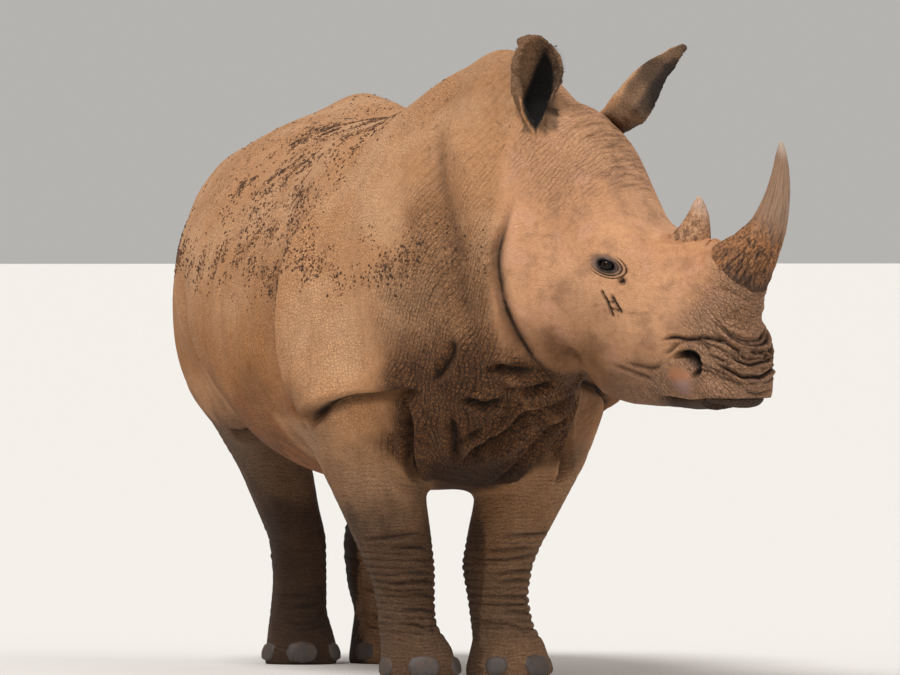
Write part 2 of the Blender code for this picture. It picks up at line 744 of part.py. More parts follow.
def main():
    clear_scene()
    shown = collection("white_rhinoceros")
    tools = collection("cutters", hidden=True)

    flesh = fused("trunk", flesh_parts(shown), VOXEL, SMOOTHING)
    relaxed(flesh, torso_share, RELAXING)
    swell(flesh, [(head_point(0.365, side * 0.150, -0.105), 0.026, -0.022) for side in (-1, 1)])
    thinned(flesh, lambda places: 1 - head_share(places), BODY_TRIANGLES)
    thinned(flesh, head_share, HEAD_TRIANGLES)
    floor = prism("below_floor", [(-3, -1), (3, -1), (3, 0), (-3, 0)], "Y", -2, 2, tools)
    boolean(flesh, floor, "DIFFERENCE")

    legs = {}
    for name in LEG_CUTS:
        legs[name] = parted(flesh, f"leg_{name}", lambda gap: leg_cutter(name, gap, tools), shown)
    head = parted(flesh, "head", lambda gap: head_cutter(gap, tools), shown)
    parted(head, "lower_jaw", lambda gap: jaw_cutter(gap, tools), shown)
    neck = parted(flesh, "neck", lambda gap: neck_cutter(gap, tools), shown)

    for name, x_foot, side, stations, turn in LEGS:
        foot = parted(legs[name], f"foot_{name}", lambda gap: foot_cutter(gap, tools), shown)
        for nail in nails(name, foot, x_foot, side, stations, turn, shown):
            cut_by(foot, nail, tools)

    for side, word in ((-1, "right"), (1, "left")):
        cut_by(head, eyeball(f"eye_{word}", side, shown), tools)
    cut_by(head, horn("horn_front", FRONT_HORN, shown, 14), tools)
    cut_by(head, horn("horn_rear", REAR_HORN, shown, 8), tools)
    for name in EARS:
        cup = ear(name, shown)
        cut_by(cup, head, tools)
        cut_by(cup, neck, tools)

    tail = hanging("tail", TAIL, shown, 14)
    cut_by(flesh, tail, tools)
    cut_by(tail, hanging("tail_tuft", TUFT, shown, 9), tools)

    for obj in shown.objects:
        largest_island(obj)
    painted(shown.objects)
    stood_on_floor(shown.objects)
    print(len(shown.objects), "pieces,", sum(triangles(obj) for obj in shown.objects), "triangles")


if __name__ == "__main__":
    main()
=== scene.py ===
# %% [markdown]
# # A white rhinoceros, standing still
#
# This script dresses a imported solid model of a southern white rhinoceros, life size, as a museum
# would show it. The solids give the true size, the stance and the outline. Here one skin is drawn
# over all the flesh, folds and wrinkles are pressed into it, and the eyes, the horns and the nails
# are made again with a finer surface. Everything is in metres: +X is the way the body faces, +Y is
# the animal's left and +Z is up.

# %% Load the solid model
import math

import bmesh
import bpy
import numpy as np
from mathutils import Matrix, Vector, noise
from mathutils.bvhtree import BVHTree
from mathutils.kdtree import KDTree


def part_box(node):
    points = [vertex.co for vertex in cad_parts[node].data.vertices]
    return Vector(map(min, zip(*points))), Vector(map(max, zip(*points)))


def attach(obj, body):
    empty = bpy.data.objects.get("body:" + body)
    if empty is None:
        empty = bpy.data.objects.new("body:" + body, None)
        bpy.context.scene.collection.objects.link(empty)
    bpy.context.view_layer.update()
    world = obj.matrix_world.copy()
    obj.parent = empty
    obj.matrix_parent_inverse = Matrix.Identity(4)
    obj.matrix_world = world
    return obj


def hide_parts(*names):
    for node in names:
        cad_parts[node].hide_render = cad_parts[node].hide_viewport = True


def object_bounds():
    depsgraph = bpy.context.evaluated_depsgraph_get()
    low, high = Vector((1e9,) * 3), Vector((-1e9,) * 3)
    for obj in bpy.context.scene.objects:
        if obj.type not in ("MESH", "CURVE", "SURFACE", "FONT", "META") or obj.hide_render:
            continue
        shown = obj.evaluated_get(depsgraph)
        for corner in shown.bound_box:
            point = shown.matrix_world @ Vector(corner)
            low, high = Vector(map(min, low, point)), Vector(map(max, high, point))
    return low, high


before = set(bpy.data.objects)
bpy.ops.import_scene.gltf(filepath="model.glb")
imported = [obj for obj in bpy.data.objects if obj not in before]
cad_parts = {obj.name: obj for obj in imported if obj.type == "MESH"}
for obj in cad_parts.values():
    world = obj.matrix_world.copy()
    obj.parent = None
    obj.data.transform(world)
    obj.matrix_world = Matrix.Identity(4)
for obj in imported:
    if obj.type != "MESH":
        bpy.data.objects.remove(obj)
cad_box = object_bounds()
LEGS = ("front_left", "front_right", "hind_left", "hind_right")
print("solids loaded:", len(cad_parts), "nodes, from", cad_box[0], "to", cad_box[1])

# %% [markdown]
# ## Camera
#
# A long lens far away flattens the animal, as field glasses do: the near and the far legs come out
# almost the same size. The camera stands low, to the right of the animal's front. A short lens near
# by would be easier to place, but it would swell the head and shrink the hips.

# %% Place the camera
AZIMUTH = math.radians(76.5)  # 0 looks along +Y and 90 along -X
ELEVATION = math.radians(0.39)
DISTANCE = 42.15
AIM = Vector((0.445, -0.079, 0.9565))
FOCAL_LENGTH = 600  # mm
SENSOR_WIDTH = 36

away = Vector((math.sin(AZIMUTH) * math.cos(ELEVATION), -math.cos(AZIMUTH) * math.cos(ELEVATION),
               math.sin(ELEVATION)))
lens = bpy.data.cameras.new("camera")
lens.lens = FOCAL_LENGTH
lens.sensor_width = SENSOR_WIDTH
lens.clip_end = 2000
camera = bpy.data.objects.new("camera", lens)
facing = away.to_track_quat("Z", "Y").to_matrix().to_4x4()
camera.matrix_world = Matrix.Translation(AIM + away * DISTANCE) @ facing
bpy.context.scene.collection.objects.link(camera)
bpy.context.scene.camera = camera
print("camera", round(camera.location.z, 2), "m above the floor")

# %% [markdown]
# ## Measures of the head
#
# The head is turned to the animal's left and hangs down, so its details are easier to place in a
# frame of its own. The two eyes give most of that frame: the line between them points to the left
# side of the head. The origin lies between them, a little nearer to the muzzle.

# %% Find the head's own axes
HEAD_PITCH = math.radians(35)  # the muzzle points this far below level
UP = Vector((0, 0, 1))


def middle(name):
    """The middle of a solid's box."""
    low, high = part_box(name)
    return (Vector(low) + Vector(high)) / 2


EYES = {-1: middle("eye_right"), 1: middle("eye_left")}  # -1 is the animal's right, 1 its left
EYE_BACK = 0.012  # the eyes lie this far behind the origin
LEFTWARD = (EYES[1] - EYES[-1]).normalized()
heading = LEFTWARD.cross(UP)
ALONG = heading * math.cos(HEAD_PITCH) - UP * math.sin(HEAD_PITCH)
CROWN = ALONG.cross(LEFTWARD)
BROW = (EYES[1] + EYES[-1]) / 2 + ALONG * EYE_BACK
HEAD_AXES = np.array((ALONG, LEFTWARD, CROWN))


def head_point(along, side, crown):
    """A place given in the head's frame."""
    return BROW + ALONG * along + LEFTWARD * side + CROWN * crown


def in_head(points):
    """Points given in the head's frame: along it, to its left and towards its crown."""
    return (points - np.array(BROW)) @ HEAD_AXES.T


EYE_RADIUS = (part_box("eye_left")[1][2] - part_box("eye_left")[0][2]) / 2
print("eyes", round((EYES[1] - EYES[-1]).length, 3), "m apart, radius", round(EYE_RADIUS, 4))

# %% [markdown]
# ## Gathering the flesh
#
# The solid model is parted into trunk, neck, legs and so on by thin cuts. A hide has no such seams,
# so copies of all the flesh are put into one mesh. The sockets of the horns are filled with the
# horns' own roots, cut off level with the skin, and the nails and eyes are copied in whole, so that
# the skin passes over every hole.

# %% Put copies of the solids into one mesh
FLESH = ["trunk", "neck", "head", "lower_jaw", "tail", "ear_left", "ear_right"]
FLESH += [part + leg for leg in LEGS for part in ("leg_", "foot_")]
NAILS = [f"nail_{leg}_{place}" for leg in LEGS for place in ("inner", "middle", "outer")]
SOFT_PLUGS = NAILS + ["eye_left", "eye_right"]


def merged_copy(name):
    """A new bmesh with a CAD node's shape, its loose triangles joined."""
    bm = bmesh.new()
    bm.from_mesh(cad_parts[name].data)
    bmesh.ops.remove_doubles(bm, verts=bm.verts, dist=1e-5)
    return bm


def root_of(name, place, facing):
    """The part of a horn below a plane through place, closed with a lid."""
    bm = merged_copy(name)
    bmesh.ops.bisect_plane(bm, geom=bm.verts[:] + bm.edges[:] + bm.faces[:], plane_co=place,
                           plane_no=facing, clear_outer=True)
    bmesh.ops.holes_fill(bm, edges=[edge for edge in bm.edges if edge.is_boundary])
    return bm


def object_from(bm, name):
    """A new object of a bmesh, which is used up."""
    mesh = bpy.data.meshes.new(name)
    bm.to_mesh(mesh)
    bm.free()
    made = bpy.data.objects.new(name, mesh)
    bpy.context.scene.collection.objects.link(made)
    return made


def gathered(pieces, name):
    """One object of several bmeshes, each of which is used up."""
    whole = bmesh.new()
    for piece in pieces:
        part = bpy.data.meshes.new("part")
        piece.to_mesh(part)
        piece.free()
        whole.from_mesh(part)
        bpy.data.meshes.remove(part)
    return object_from(whole, name)


# %% [markdown]
# ## The rolled rims of the ears
#
# The solid ears have thin plain edges. On the animal the rim is rolled and caked with mud, and the
# right ear's tip is folded over. Small balls of uneven size are set in a row along each edge and
# round the tip. They melt together into one roll when everything soft is remeshed below. Each ear
# gets a frame of its own first: the three main directions in which its points spread.


# %% Roll the rims of the ears
def read_all(items, name, width, kind=float):
    """One property of every item of a mesh's list, as rows of width numbers."""
    values = np.empty(len(items) * width, dtype=kind)
    items.foreach_get(name, values)
    return values.reshape(-1, width)


class Ear:
    """An ear's own frame: its middle, and the ways to its tip, across it and out of its cup."""

    def __init__(self, side):
        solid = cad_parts["ear_left" if side > 0 else "ear_right"]
        points = read_all(solid.data.vertices, "co", 3)
        self.middle = points.mean(0)
        to_tip, across, mouth = np.linalg.svd(points - self.middle, full_matrices=False)[2]
        to_tip = to_tip * np.sign(to_tip[2])
        across = across * np.sign(across @ np.array(LEFTWARD)) * -side
        place = (points - self.middle) @ np.array((to_tip, across, mouth)).T
        wide = np.abs(place[:, 1]) > 0.7 * np.abs(place[:, 1]).max()
        mouth = mouth * np.sign(place[wide, 2].mean() - place[~wide, 2].mean())
        self.axes = np.array((to_tip, across, mouth))
        self.points = self.seen(points)

    def seen(self, points):
        """Points in the ear's frame: up it, across it, and out of its cup."""
        return (points - self.middle) @ self.axes.T

    def rim(self, edge, steps=46):
        """Places along the edge on one side, -1 or 1, from low on the ear to its tip."""
        up, across = self.points[:, 0], self.points[:, 1] * edge
        levels = np.linspace(up.min(), up.max(), 10)
        knots = []
        for low, high in zip(levels, levels[1:]):
            slab = self.points[(up >= low - 0.004) & (up <= high + 0.004)]
            knots.append(slab[np.argmax(slab[:, 1] * edge)])
        knots = np.array(knots)
        order = np.linspace(1, len(knots) - 1, steps)
        return np.array([np.interp(order, range(len(knots)), column) for column in knots.T]).T


ears = {side: Ear(side) for side in (-1, 1)}
RIM_THICK = {-1: 0.0125, 1: 0.0065}  # one rim is rolled thicker than the other
TIP_BALLS = (  # how far across the ear, how far below its tip, and the size
    (-0.040, 0.014, 0.0135), (-0.030, 0.010, 0.0125), (-0.018, 0.008, 0.0125), (-0.006, 0.006, 0.0120),
    (0.007, 0.008, 0.0115), (0.019, 0.013, 0.0110), (0.029, 0.022, 0.0100), (-0.036, 0.030, 0.0125),
    (-0.022, 0.026, 0.0110), (-0.030, 0.046, 0.0110), (-0.008, 0.022, 0.0100))
draw = np.random.default_rng(3)


def rolled_rim(ear, edge):
    """A chain of small balls of uneven size along an edge of the ear, its roll and its mud in one."""
    bm = bmesh.new()
    places = ear.rim(edge)
    for number, place in enumerate(places):
        share = number / (len(places) - 1)
        size = RIM_THICK[edge] * (0.55 + 0.6 * math.sin(math.pi * min(1, share * 0.9 + 0.1)) ** 0.7)
        size *= draw.uniform(0.82, 1.18)
        place = place + np.array((0, -edge * size * 0.7, size * 0.2)) + draw.uniform(-0.0015, 0.0015, 3)
        at = ear.middle + place @ ear.axes
        bmesh.ops.create_icosphere(bm, subdivisions=2, radius=size, matrix=Matrix.Translation(at))
    return bm


def folded_tip(ear):
    """The tip of the ear, folded over towards the cup's mouth and ending in a knob at one side."""
    bm = bmesh.new()
    tip = ear.points[:, 0].max()
    for across, down, size in TIP_BALLS:
        place = np.array((tip - down, across, 0.004))
        at = ear.middle + place @ ear.axes
        bmesh.ops.create_icosphere(bm, subdivisions=2, radius=size, matrix=Matrix.Translation(at))
    return bm


rolls = [rolled_rim(ears[side], edge) for side in ears for edge in (-1, 1)]
rolls.append(folded_tip(ears[-1]))
print("rims rolled on", len(ears), "ears")

# %% Put everything soft together
front_root = root_of("horn_front", head_point(0.26, 0, 0.168), CROWN + ALONG * 0.10)
rear_root = root_of("horn_rear", head_point(0.078, 0, 0.124), CROWN - ALONG * 0.33)
skin = gathered([merged_copy(name) for name in FLESH + SOFT_PLUGS] + rolls
                + [front_root, rear_root], "skin")
print("flesh gathered:", len(skin.data.polygons), "faces")

# %% [markdown]
# ## One closed skin
#
# The Remesh modifier in voxel mode fills space with small cubes and skins over whatever lies inside,
# so all the overlapping and touching copies become one closed surface of even squares.

# %% Remesh the flesh
FINE = 0.006  # side of a square of the skin


def with_modifier(obj, kind, **settings):
    """Applies one modifier to an object's mesh."""
    modifier = obj.modifiers.new(kind, kind)
    for name, value in settings.items():
        setattr(modifier, name, value)
    bpy.context.view_layer.update()
    graph = bpy.context.evaluated_depsgraph_get()
    mesh = bpy.data.meshes.new_from_object(obj.evaluated_get(graph))
    obj.modifiers.clear()
    old, obj.data = obj.data, mesh
    bpy.data.meshes.remove(old)


with_modifier(skin, "REMESH", mode="VOXEL", voxel_size=FINE)
print("skin remeshed:", len(skin.data.vertices), "points")

# %% [markdown]
# ## Telling the regions apart
#
# Each point of the skin remembers which solid it lies nearest to. Blurring that memory from point
# to point gives soft masks, so that one region passes gently into the next.


# %% Read the skin as arrays
class Hide:
    """The skin's points, normals and edges as arrays, for sculpting with sums."""

    def __init__(self, obj):
        self.obj = obj
        self.read()

    def read(self):
        """Copies the mesh's points, normals and edges into the arrays."""
        mesh = self.obj.data
        self.at = read_all(mesh.vertices, "co", 3)
        self.out = read_all(mesh.vertex_normals, "vector", 3)
        self.ends = read_all(mesh.edges, "vertices", 2, np.int32)
        self.degree = np.maximum(np.bincount(self.ends.ravel(), minlength=len(self.at)), 1)

    def averaged(self, values):
        """Each point's values as the mean of its neighbours'."""
        a, b = self.ends.T
        count = len(self.at)
        total = np.bincount(a, values[b], count) + np.bincount(b, values[a], count)
        return total / self.degree

    def averaged_points(self):
        """For each point the middle of its neighbours."""
        return np.stack([self.averaged(column) for column in self.at.T], axis=1)

    def blurred(self, values, rounds):
        """Values spread from point to point for some rounds."""
        for _ in range(rounds):
            values = values * 0.3 + self.averaged(values) * 0.7
        return values

    def write(self):
        """Puts the moved points back into the mesh and reads its new normals."""
        self.obj.data.vertices.foreach_set("co", self.at.ravel())
        self.obj.data.update()
        self.read()

    def move(self, way, amount, near=slice(None)):
        """Moves all points or some along a way, each by its own amount."""
        self.at[near] += np.array(way) * amount[:, None]

    def push(self, amount):
        """Moves each point outwards by its amount."""
        self.at += self.out * amount[:, None]
        self.write()


hide = Hide(skin)
print("hide read:", len(hide.at), "points,", len(hide.ends), "edges")

# %% Label each point with its nearest solid
REGIONS = {"trunk": 0, "neck": 1, "head": 2, "lower_jaw": 2, "tail": 3, "ear_left": 4, "ear_right": 4,
           "leg": 5, "foot": 6}


def region_tree():
    """A search tree over the solids' faces, and the region that each face belongs to."""
    corners, faces, owners = [], [], []
    for name in FLESH:
        first = len(corners)
        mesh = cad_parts[name].data
        corners += [vertex.co for vertex in mesh.vertices]
        faces += [[first + index for index in face.vertices] for face in mesh.polygons]
        region = REGIONS.get(name, REGIONS.get(name.split("_")[0]))
        owners += [region] * len(mesh.polygons)
    return BVHTree.FromPolygons(corners, faces), np.array(owners)


tree, owners = region_tree()
nearest = np.array([tree.find_nearest(point)[2] for point in hide.at])
label = owners[nearest]


def region(*names, rounds=12):
    """A soft mask, 1 in the named regions."""
    wanted = [REGIONS[name] for name in names]
    return hide.blurred(np.isin(label, wanted).astype(float), rounds)


print("points per region:", np.bincount(label))

# %% [markdown]
# ## Rounding the flesh
#
# The solids are made of flat facets to stay light. A facet on the barrel of the body is as wide as
# a hand, one on an ear is a finger wide. The Smooth modifier irons them out, with a vertex group
# that says how hard to iron: many rounds for the body, few for the head, hardly any for the ears.


# %% Iron out the facets
IRON_STEPS = 20  # the mask is given to the vertex group in this many steps


def ironed(mask, rounds):
    """Smooths the skin for some rounds, where the mask is 1 the most."""
    group = skin.vertex_groups.new(name="iron")
    steps = np.round(mask * IRON_STEPS).astype(int)
    for step in range(1, IRON_STEPS + 1):
        chosen = np.flatnonzero(steps == step).tolist()
        if chosen:
            group.add(chosen, step / IRON_STEPS, "REPLACE")
    with_modifier(skin, "SMOOTH", factor=0.5, iterations=rounds, vertex_group="iron")
    skin.vertex_groups.clear()
    hide.read()


keep_cheek = 1 - region("head", rounds=60)
ironed(region("trunk", "neck", rounds=40) * keep_cheek, 130)
ironed(region("leg", "trunk", "neck", "tail", rounds=25) * keep_cheek, 60)
ironed(region("head", rounds=15) * 0.9, 26)
ironed(region("foot", rounds=8), 10)
ironed(region("ear_left", rounds=4), 4)
print("ironed, now", [round(v, 3) for v in hide.at.max(axis=0)])

# %% [markdown]
# ## The jaw and the front of the muzzle
#
# The solids give the animal its main sizes. Some forms are softer than a solid can be: the heavy
# angle of the jaw hangs lower under the cheek, above the lip the front of the muzzle is hollowed, and
# the bridge of the nose is raised between the horns. The hump behind the neck and the hips rise from
# the back. All are made by moving the skin's points a little, by an amount that fades out on all
# sides. Sculpting by hand would do it too, but sums like these give the same shape each run.

# %% Lower the jaw, hollow the muzzle and raise the hump
def smooth_step(value, low, high):
    """0 below low, 1 above high, smooth between."""
    share = np.clip((value - low) / (high - low), 0, 1)
    return share * share * (3 - 2 * share)


def bell(value, middle, width):
    """1 in the middle, fading to 0 on both sides."""
    return np.exp(-((value - middle) / width) ** 2)


along, sideways, crown = in_head(hide.at).T
of_head = region("head", rounds=12)
JAW_ALONG = (-0.12, 0.06, 0.16, 0.27, 0.40, 0.52)  # places along the head
JAW_DROP = (0.000, 0.054, 0.040, 0.020, 0.013, 0.020)  # how much lower the jaw hangs there
jaw_from = -0.27 + 0.16 * smooth_step(along, 0.2, 0.5)  # below this height the whole drop counts
drop = np.interp(along, JAW_ALONG, JAW_DROP) * smooth_step(crown, -0.13, jaw_from)
hide.move(UP, -drop * of_head)
hollow = bell(crown, 0.082, 0.048) * smooth_step(along, 0.24, 0.38)
hide.move(ALONG, -hollow * of_head * 0.034)
bridge = np.exp(-((along - 0.130) / 0.050) ** 2 - (sideways / 0.085) ** 2) * smooth_step(crown, 0.02, 0.09)
hide.move(CROWN, bridge * of_head * 0.024)
BACK_FORMS = (  # place, reach each way and rise of the forms along the back
    ((0.80, -0.02, 1.73), (0.09, 0.16, 0.14), 0.030),
    ((0.755, -0.145, 1.67), (0.06, 0.06, 0.10), -0.046),
    ((0.755, 0.185, 1.67), (0.06, 0.06, 0.10), -0.046),
    ((0.795, -0.10, 1.70), (0.035, 0.06, 0.06), -0.026),
    ((0.795, 0.14, 1.70), (0.035, 0.06, 0.06), -0.026),
    ((-0.90, 0.0, 1.62), (0.16, 0.14, 0.20), 0.026),
    ((-0.45, 0.0, 1.62), (0.20, 0.20, 0.20), -0.014))
for place, reach, rise in BACK_FORMS:
    hide.at[:, 2] += rise * np.exp(-(((hide.at - place) / reach) ** 2).sum(1))
hide.write()
print("jaw lowered by up to", round(float((drop * of_head).max()), 3), "m")

# %% [markdown]
# ## Finer squares where the detail is
#
# Squares of 6 mm are fine enough for the body. The eyelids, the muzzle and the ears have smaller
# forms. The faces of the muzzle and round the eyes are cut in four, and round the eyes once more. The
# Subdivide operator does that for chosen edges only.


# %% Cut the faces of the head smaller
def refined(chosen):
    """Cuts every edge whose two ends are chosen, a test on an array of points."""
    bm = bmesh.new()
    bm.from_mesh(skin.data)
    keep = chosen(hide.at)
    bm.verts.ensure_lookup_table()
    edges = [edge for edge in bm.edges if keep[edge.verts[0].index] and keep[edge.verts[1].index]]
    bmesh.ops.subdivide_edges(bm, edges=edges, cuts=1, use_grid_fill=True)
    bm.to_mesh(skin.data)
    bm.free()
    hide.read()


def near_eyes(points, reach):
    """Whether each point lies within reach of an eye."""
    return np.minimum(*(np.linalg.norm(points - np.array(EYES[side]), axis=1) for side in EYES)) < reach


MUZZLE_FROM = 0.22  # along the head, where the fine squares of the muzzle start
FINE_REACH = 0.075  # round each eye the squares are cut in four
FINER_REACH = 0.050  # and nearer still they are cut in four again
refined(lambda points: (in_head(points)[:, 0] > MUZZLE_FROM) | near_eyes(points, FINE_REACH))
refined(lambda points: near_eyes(points, FINER_REACH))
nearest = np.array([tree.find_nearest(point)[2] for point in hide.at])
label = owners[nearest]
print("refined to", len(hide.at), "points")


# %% Calm the skin between the jaw and the chest
def calmed(place, reach, rounds):
    """Lets the points near a place slide towards the middle of their neighbours."""
    share = np.exp(-((np.linalg.norm(hide.at - np.array(place), axis=1) / reach) ** 4))[:, None]
    for _ in range(rounds):
        hide.at += (hide.averaged_points() - hide.at) * share * 0.6
    hide.write()


UNDER_JAW = (0.87, 0.11, 0.79)
calmed(UNDER_JAW, 0.12, 30)
print("calmed under the jaw")

# %% [markdown]
# ## Folds
#
# A fold in thick hide is a groove with a soft lip on each side, and often one side hangs over the
# other. Each fold here follows a line of a few places laid on the skin. For every point nearby the
# distance to that line gives how far to press it in or to raise it. The same distance is kept as a
# painted mask, because dirt and shade gather in the folds.

# %% Lay lines on the skin
surface = BVHTree.FromObject(skin, bpy.context.evaluated_depsgraph_get())
folds = np.zeros(len(hide.at))  # 1 in the bottom of a fold


def on_skin(places, steps=6):
    """A curve through the skin points nearest to some places, with more points between them."""
    knots = [surface.find_nearest(Vector(place))[0] for place in places]
    knots = [knots[0] * 2 - knots[1]] + knots + [knots[-1] * 2 - knots[-2]]
    line = []
    for a, b, c, d in zip(knots, knots[1:], knots[2:], knots[3:]):
        for step in range(steps):
            t = step / steps
            line.append((b * 2 + (c - a) * t + (a * 2 - b * 5 + c * 4 - d) * t * t
                         + (b * 3 - a - c * 3 + d) * t ** 3) / 2)
    return np.array(line + [knots[-2]])


def along_line(line, reach):
    """The points within reach of a line: their numbers, distance to it, side of it and share along it."""
    near = np.flatnonzero(((hide.at > line.min(0) - reach) & (hide.at < line.max(0) + reach)).all(1))
    at, out = hide.at[near], hide.out[near]
    best = np.full(len(near), 1e9)
    sideways = np.zeros(len(near))
    share = np.zeros(len(near))
    for number, (a, b) in enumerate(zip(line, line[1:])):
        run = b - a
        t = np.clip((at - a) @ run / max(run @ run, 1e-12), 0, 1)
        off = at - a - t[:, None] * run
        distance = np.linalg.norm(off, axis=1)
        closer = distance < best
        best[closer] = distance[closer]
        across = np.cross(run, out[closer])
        sideways[closer] = np.sign((off[closer] * across).sum(1))
        share[closer] = (number + t[closer]) / (len(line) - 1)
    kept = best < reach
    return near[kept], best[kept], sideways[kept], share[kept]


# %% Press folds into the skin
def raise_to(mask, near, values):
    """Raises a mask at some points to at least the values given."""
    mask[near] = np.maximum(mask[near], values)


def crease(places, width, depth, lip=0.3, flap=0.0, spread=2.6, fade=0.25, dark=1.0):
    """A fold along places: lip and flap are heights as shares of the depth, the flap on one side only."""
    near, distance, sideways, share = along_line(on_skin(places), width * max(5, 2.2 * spread))
    ends = smooth_step(share, 0, fade) * smooth_step(share, 1, 1 - fade)
    r = distance / (width * (0.35 + 0.65 * ends))
    shape = lip * bell(r, 2.1, 0.9) - bell(r, 0, 1)
    shape += flap * bell(r, 0, spread) * (1 + np.tanh(2.5 * r * sideways)) / 2
    hide.move(hide.out[near], shape * ends * depth, near)
    floor_of_fold = bell(distance, 0, max(0.0045, 0.35 * width))
    raise_to(folds, near, dark * ends * (0.35 * bell(r, 0, 0.9) + 0.85 * floor_of_fold))


def head_crease(places, width, depth, **details):
    """A fold given in the head's frame for one side of the head, repeated on the other."""
    for side in (-1, 1):
        laid = [head_point(a, -s * side, c) for a, s, c in places]
        crease(laid[::-side], width, depth, **details)


print("folds can be laid")

# %% [markdown]
# ## The great folds of the body
#
# Behind the shoulder the hide steps down to the flank, above each foreleg it hangs over in a sharp
# fold, and where the neck meets the chest it gathers in slanting rolls. A tall flap with no lip makes
# a step, a low one only lets one side hang over.

# %% Fold the shoulders and the flanks
def both_sides(places, *sizes, **details):
    """A fold given for the left side of the body, and its mirror image on the right."""
    for side in (-1, 1):
        crease([(x, y * side, z) for x, y, z in places][::side], *sizes, **details)


BODY_FOLDS = (  # width, depth and form, then the places
    (0.022, 0.038, dict(lip=0, flap=1.0, spread=5, dark=0.7), [
        (0.44, 0.45, 1.35), (0.385, 0.495, 1.26), (0.355, 0.52, 1.18), (0.345, 0.54, 1.06),
        (0.355, 0.54, 0.93), (0.385, 0.53, 0.84), (0.425, 0.51, 0.76), (0.46, 0.49, 0.70)]),
    (0.017, 0.050, dict(lip=0, flap=0.9, spread=4.5, fade=0.2), [
        (0.45, 0.49, 0.69), (0.50, 0.475, 0.74), (0.57, 0.45, 0.772), (0.64, 0.40, 0.79),
        (0.71, 0.34, 0.80), (0.78, 0.30, 0.812), (0.84, 0.25, 0.803)]),
    (0.012, 0.014, dict(flap=0.4, dark=0.7), [
        (0.36, 0.53, 0.79), (0.39, 0.51, 0.74), (0.42, 0.48, 0.69)]),
    (0.042, 0.026, dict(lip=0.40, dark=0.30), [
        (0.80, 0.19, 1.56), (0.86, 0.21, 1.478), (0.92, 0.215, 1.363), (0.98, 0.19, 1.21),
        (0.987, 0.188, 1.106), (0.988, 0.152, 0.998), (0.965, 0.12, 0.90)]),
    (0.013, 0.018, dict(flap=0.3), [
        (0.965, 0.195, 0.97), (0.955, 0.20, 0.91), (0.92, 0.215, 0.87), (0.87, 0.24, 0.824)]),
    (0.016, 0.050, dict(flap=0.5, spread=3.5), [
        (0.78, 0.302, 0.82), (0.758, 0.269, 0.74), (0.70, 0.255, 0.675), (0.663, 0.243, 0.644),
        (0.585, 0.213, 0.587), (0.529, 0.171, 0.541)]),
    (0.035, 0.018, dict(lip=0.1, flap=-0.6, spread=3.5, dark=0.3), [
        (-0.60, 0.60, 1.22), (-0.64, 0.60, 1.08), (-0.66, 0.58, 0.92), (-0.64, 0.54, 0.78),
        (-0.58, 0.49, 0.66)]),
    (0.016, 0.022, dict(flap=0.4, dark=0.8), [
        (-0.83, 0.46, 0.66), (-0.74, 0.44, 0.61), (-0.66, 0.42, 0.585)]),
    (0.030, 0.016, dict(dark=0.4), [
        (-1.28, 0.16, 1.30), (-1.30, 0.20, 1.15), (-1.27, 0.24, 0.98)]))
for width, depth, form, places in BODY_FOLDS:
    both_sides(places, width, depth, **form)
hide.write()
print("shoulders and flanks folded", len(BODY_FOLDS), "times on each side")

# %% Fold the chest and the throat
THROAT_FOLDS = (  # width and depth, then the places
    (0.014, 0.028, [
        (0.97, -0.12, 0.86), (0.986, -0.068, 0.871), (0.993, -0.031, 0.866), (1.0, 0.014, 0.869),
        (1.006, 0.045, 0.88)]),
    (0.012, 0.024, [
        (0.94, -0.06, 0.815), (0.969, -0.002, 0.825), (0.966, 0.037, 0.825), (0.967, 0.07, 0.834),
        (0.971, 0.10, 0.855)]),
    (0.012, 0.022, [
        (0.88, -0.17, 0.785), (0.906, -0.134, 0.778), (0.914, -0.097, 0.769), (0.927, -0.063, 0.776),
        (0.948, -0.04, 0.805)]),
    (0.018, 0.055, [
        (0.68, -0.13, 0.588), (0.74, -0.10, 0.615), (0.791, -0.076, 0.645), (0.828, -0.036, 0.679),
        (0.87, 0.012, 0.722), (0.892, 0.036, 0.75), (0.896, 0.068, 0.77), (0.87, 0.134, 0.80),
        (0.80, 0.19, 0.82), (0.72, 0.24, 0.83)]),
    (0.015, 0.040, [
        (0.56, 0.00, 0.535), (0.62, 0.02, 0.56), (0.675, 0.039, 0.587), (0.734, 0.079, 0.644),
        (0.779, 0.108, 0.697), (0.75, 0.16, 0.73), (0.68, 0.22, 0.757)]),
    (0.013, 0.024, [
        (0.85, -0.18, 0.75), (0.83, -0.167, 0.713), (0.80, -0.151, 0.676), (0.758, -0.141, 0.638),
        (0.70, -0.13, 0.60)]),
    (0.010, 0.012, [
        (0.76, -0.15, 0.64), (0.805, -0.128, 0.671), (0.836, -0.102, 0.69), (0.864, -0.085, 0.71)]),
    (0.010, 0.010, [(0.83, -0.07, 0.70), (0.87, -0.04, 0.735), (0.90, -0.01, 0.77)]))
for width, depth, places in THROAT_FOLDS:
    crease(places, width, depth, lip=0.35, flap=0.6, spread=3.5, fade=0.3)
hide.write()
print("chest folded", len(THROAT_FOLDS), "times")

# %% Fold the cheek against the neck
head_crease([(-0.36, 0.21, 0.02), (-0.32, 0.24, -0.08), (-0.285, 0.25, -0.16), (-0.235, 0.25, -0.22),
             (-0.17, 0.23, -0.29), (-0.11, 0.18, -0.345), (-0.06, 0.10, -0.39), (-0.05, 0.03, -0.41)],
            0.022, 0.034, flap=0.8, lip=0, spread=4, fade=0.3)
for side in (-1, 1):
    calmed(head_point(-0.045, 0.165 * side, -0.355), 0.075, 40)
print("cheeks folded")

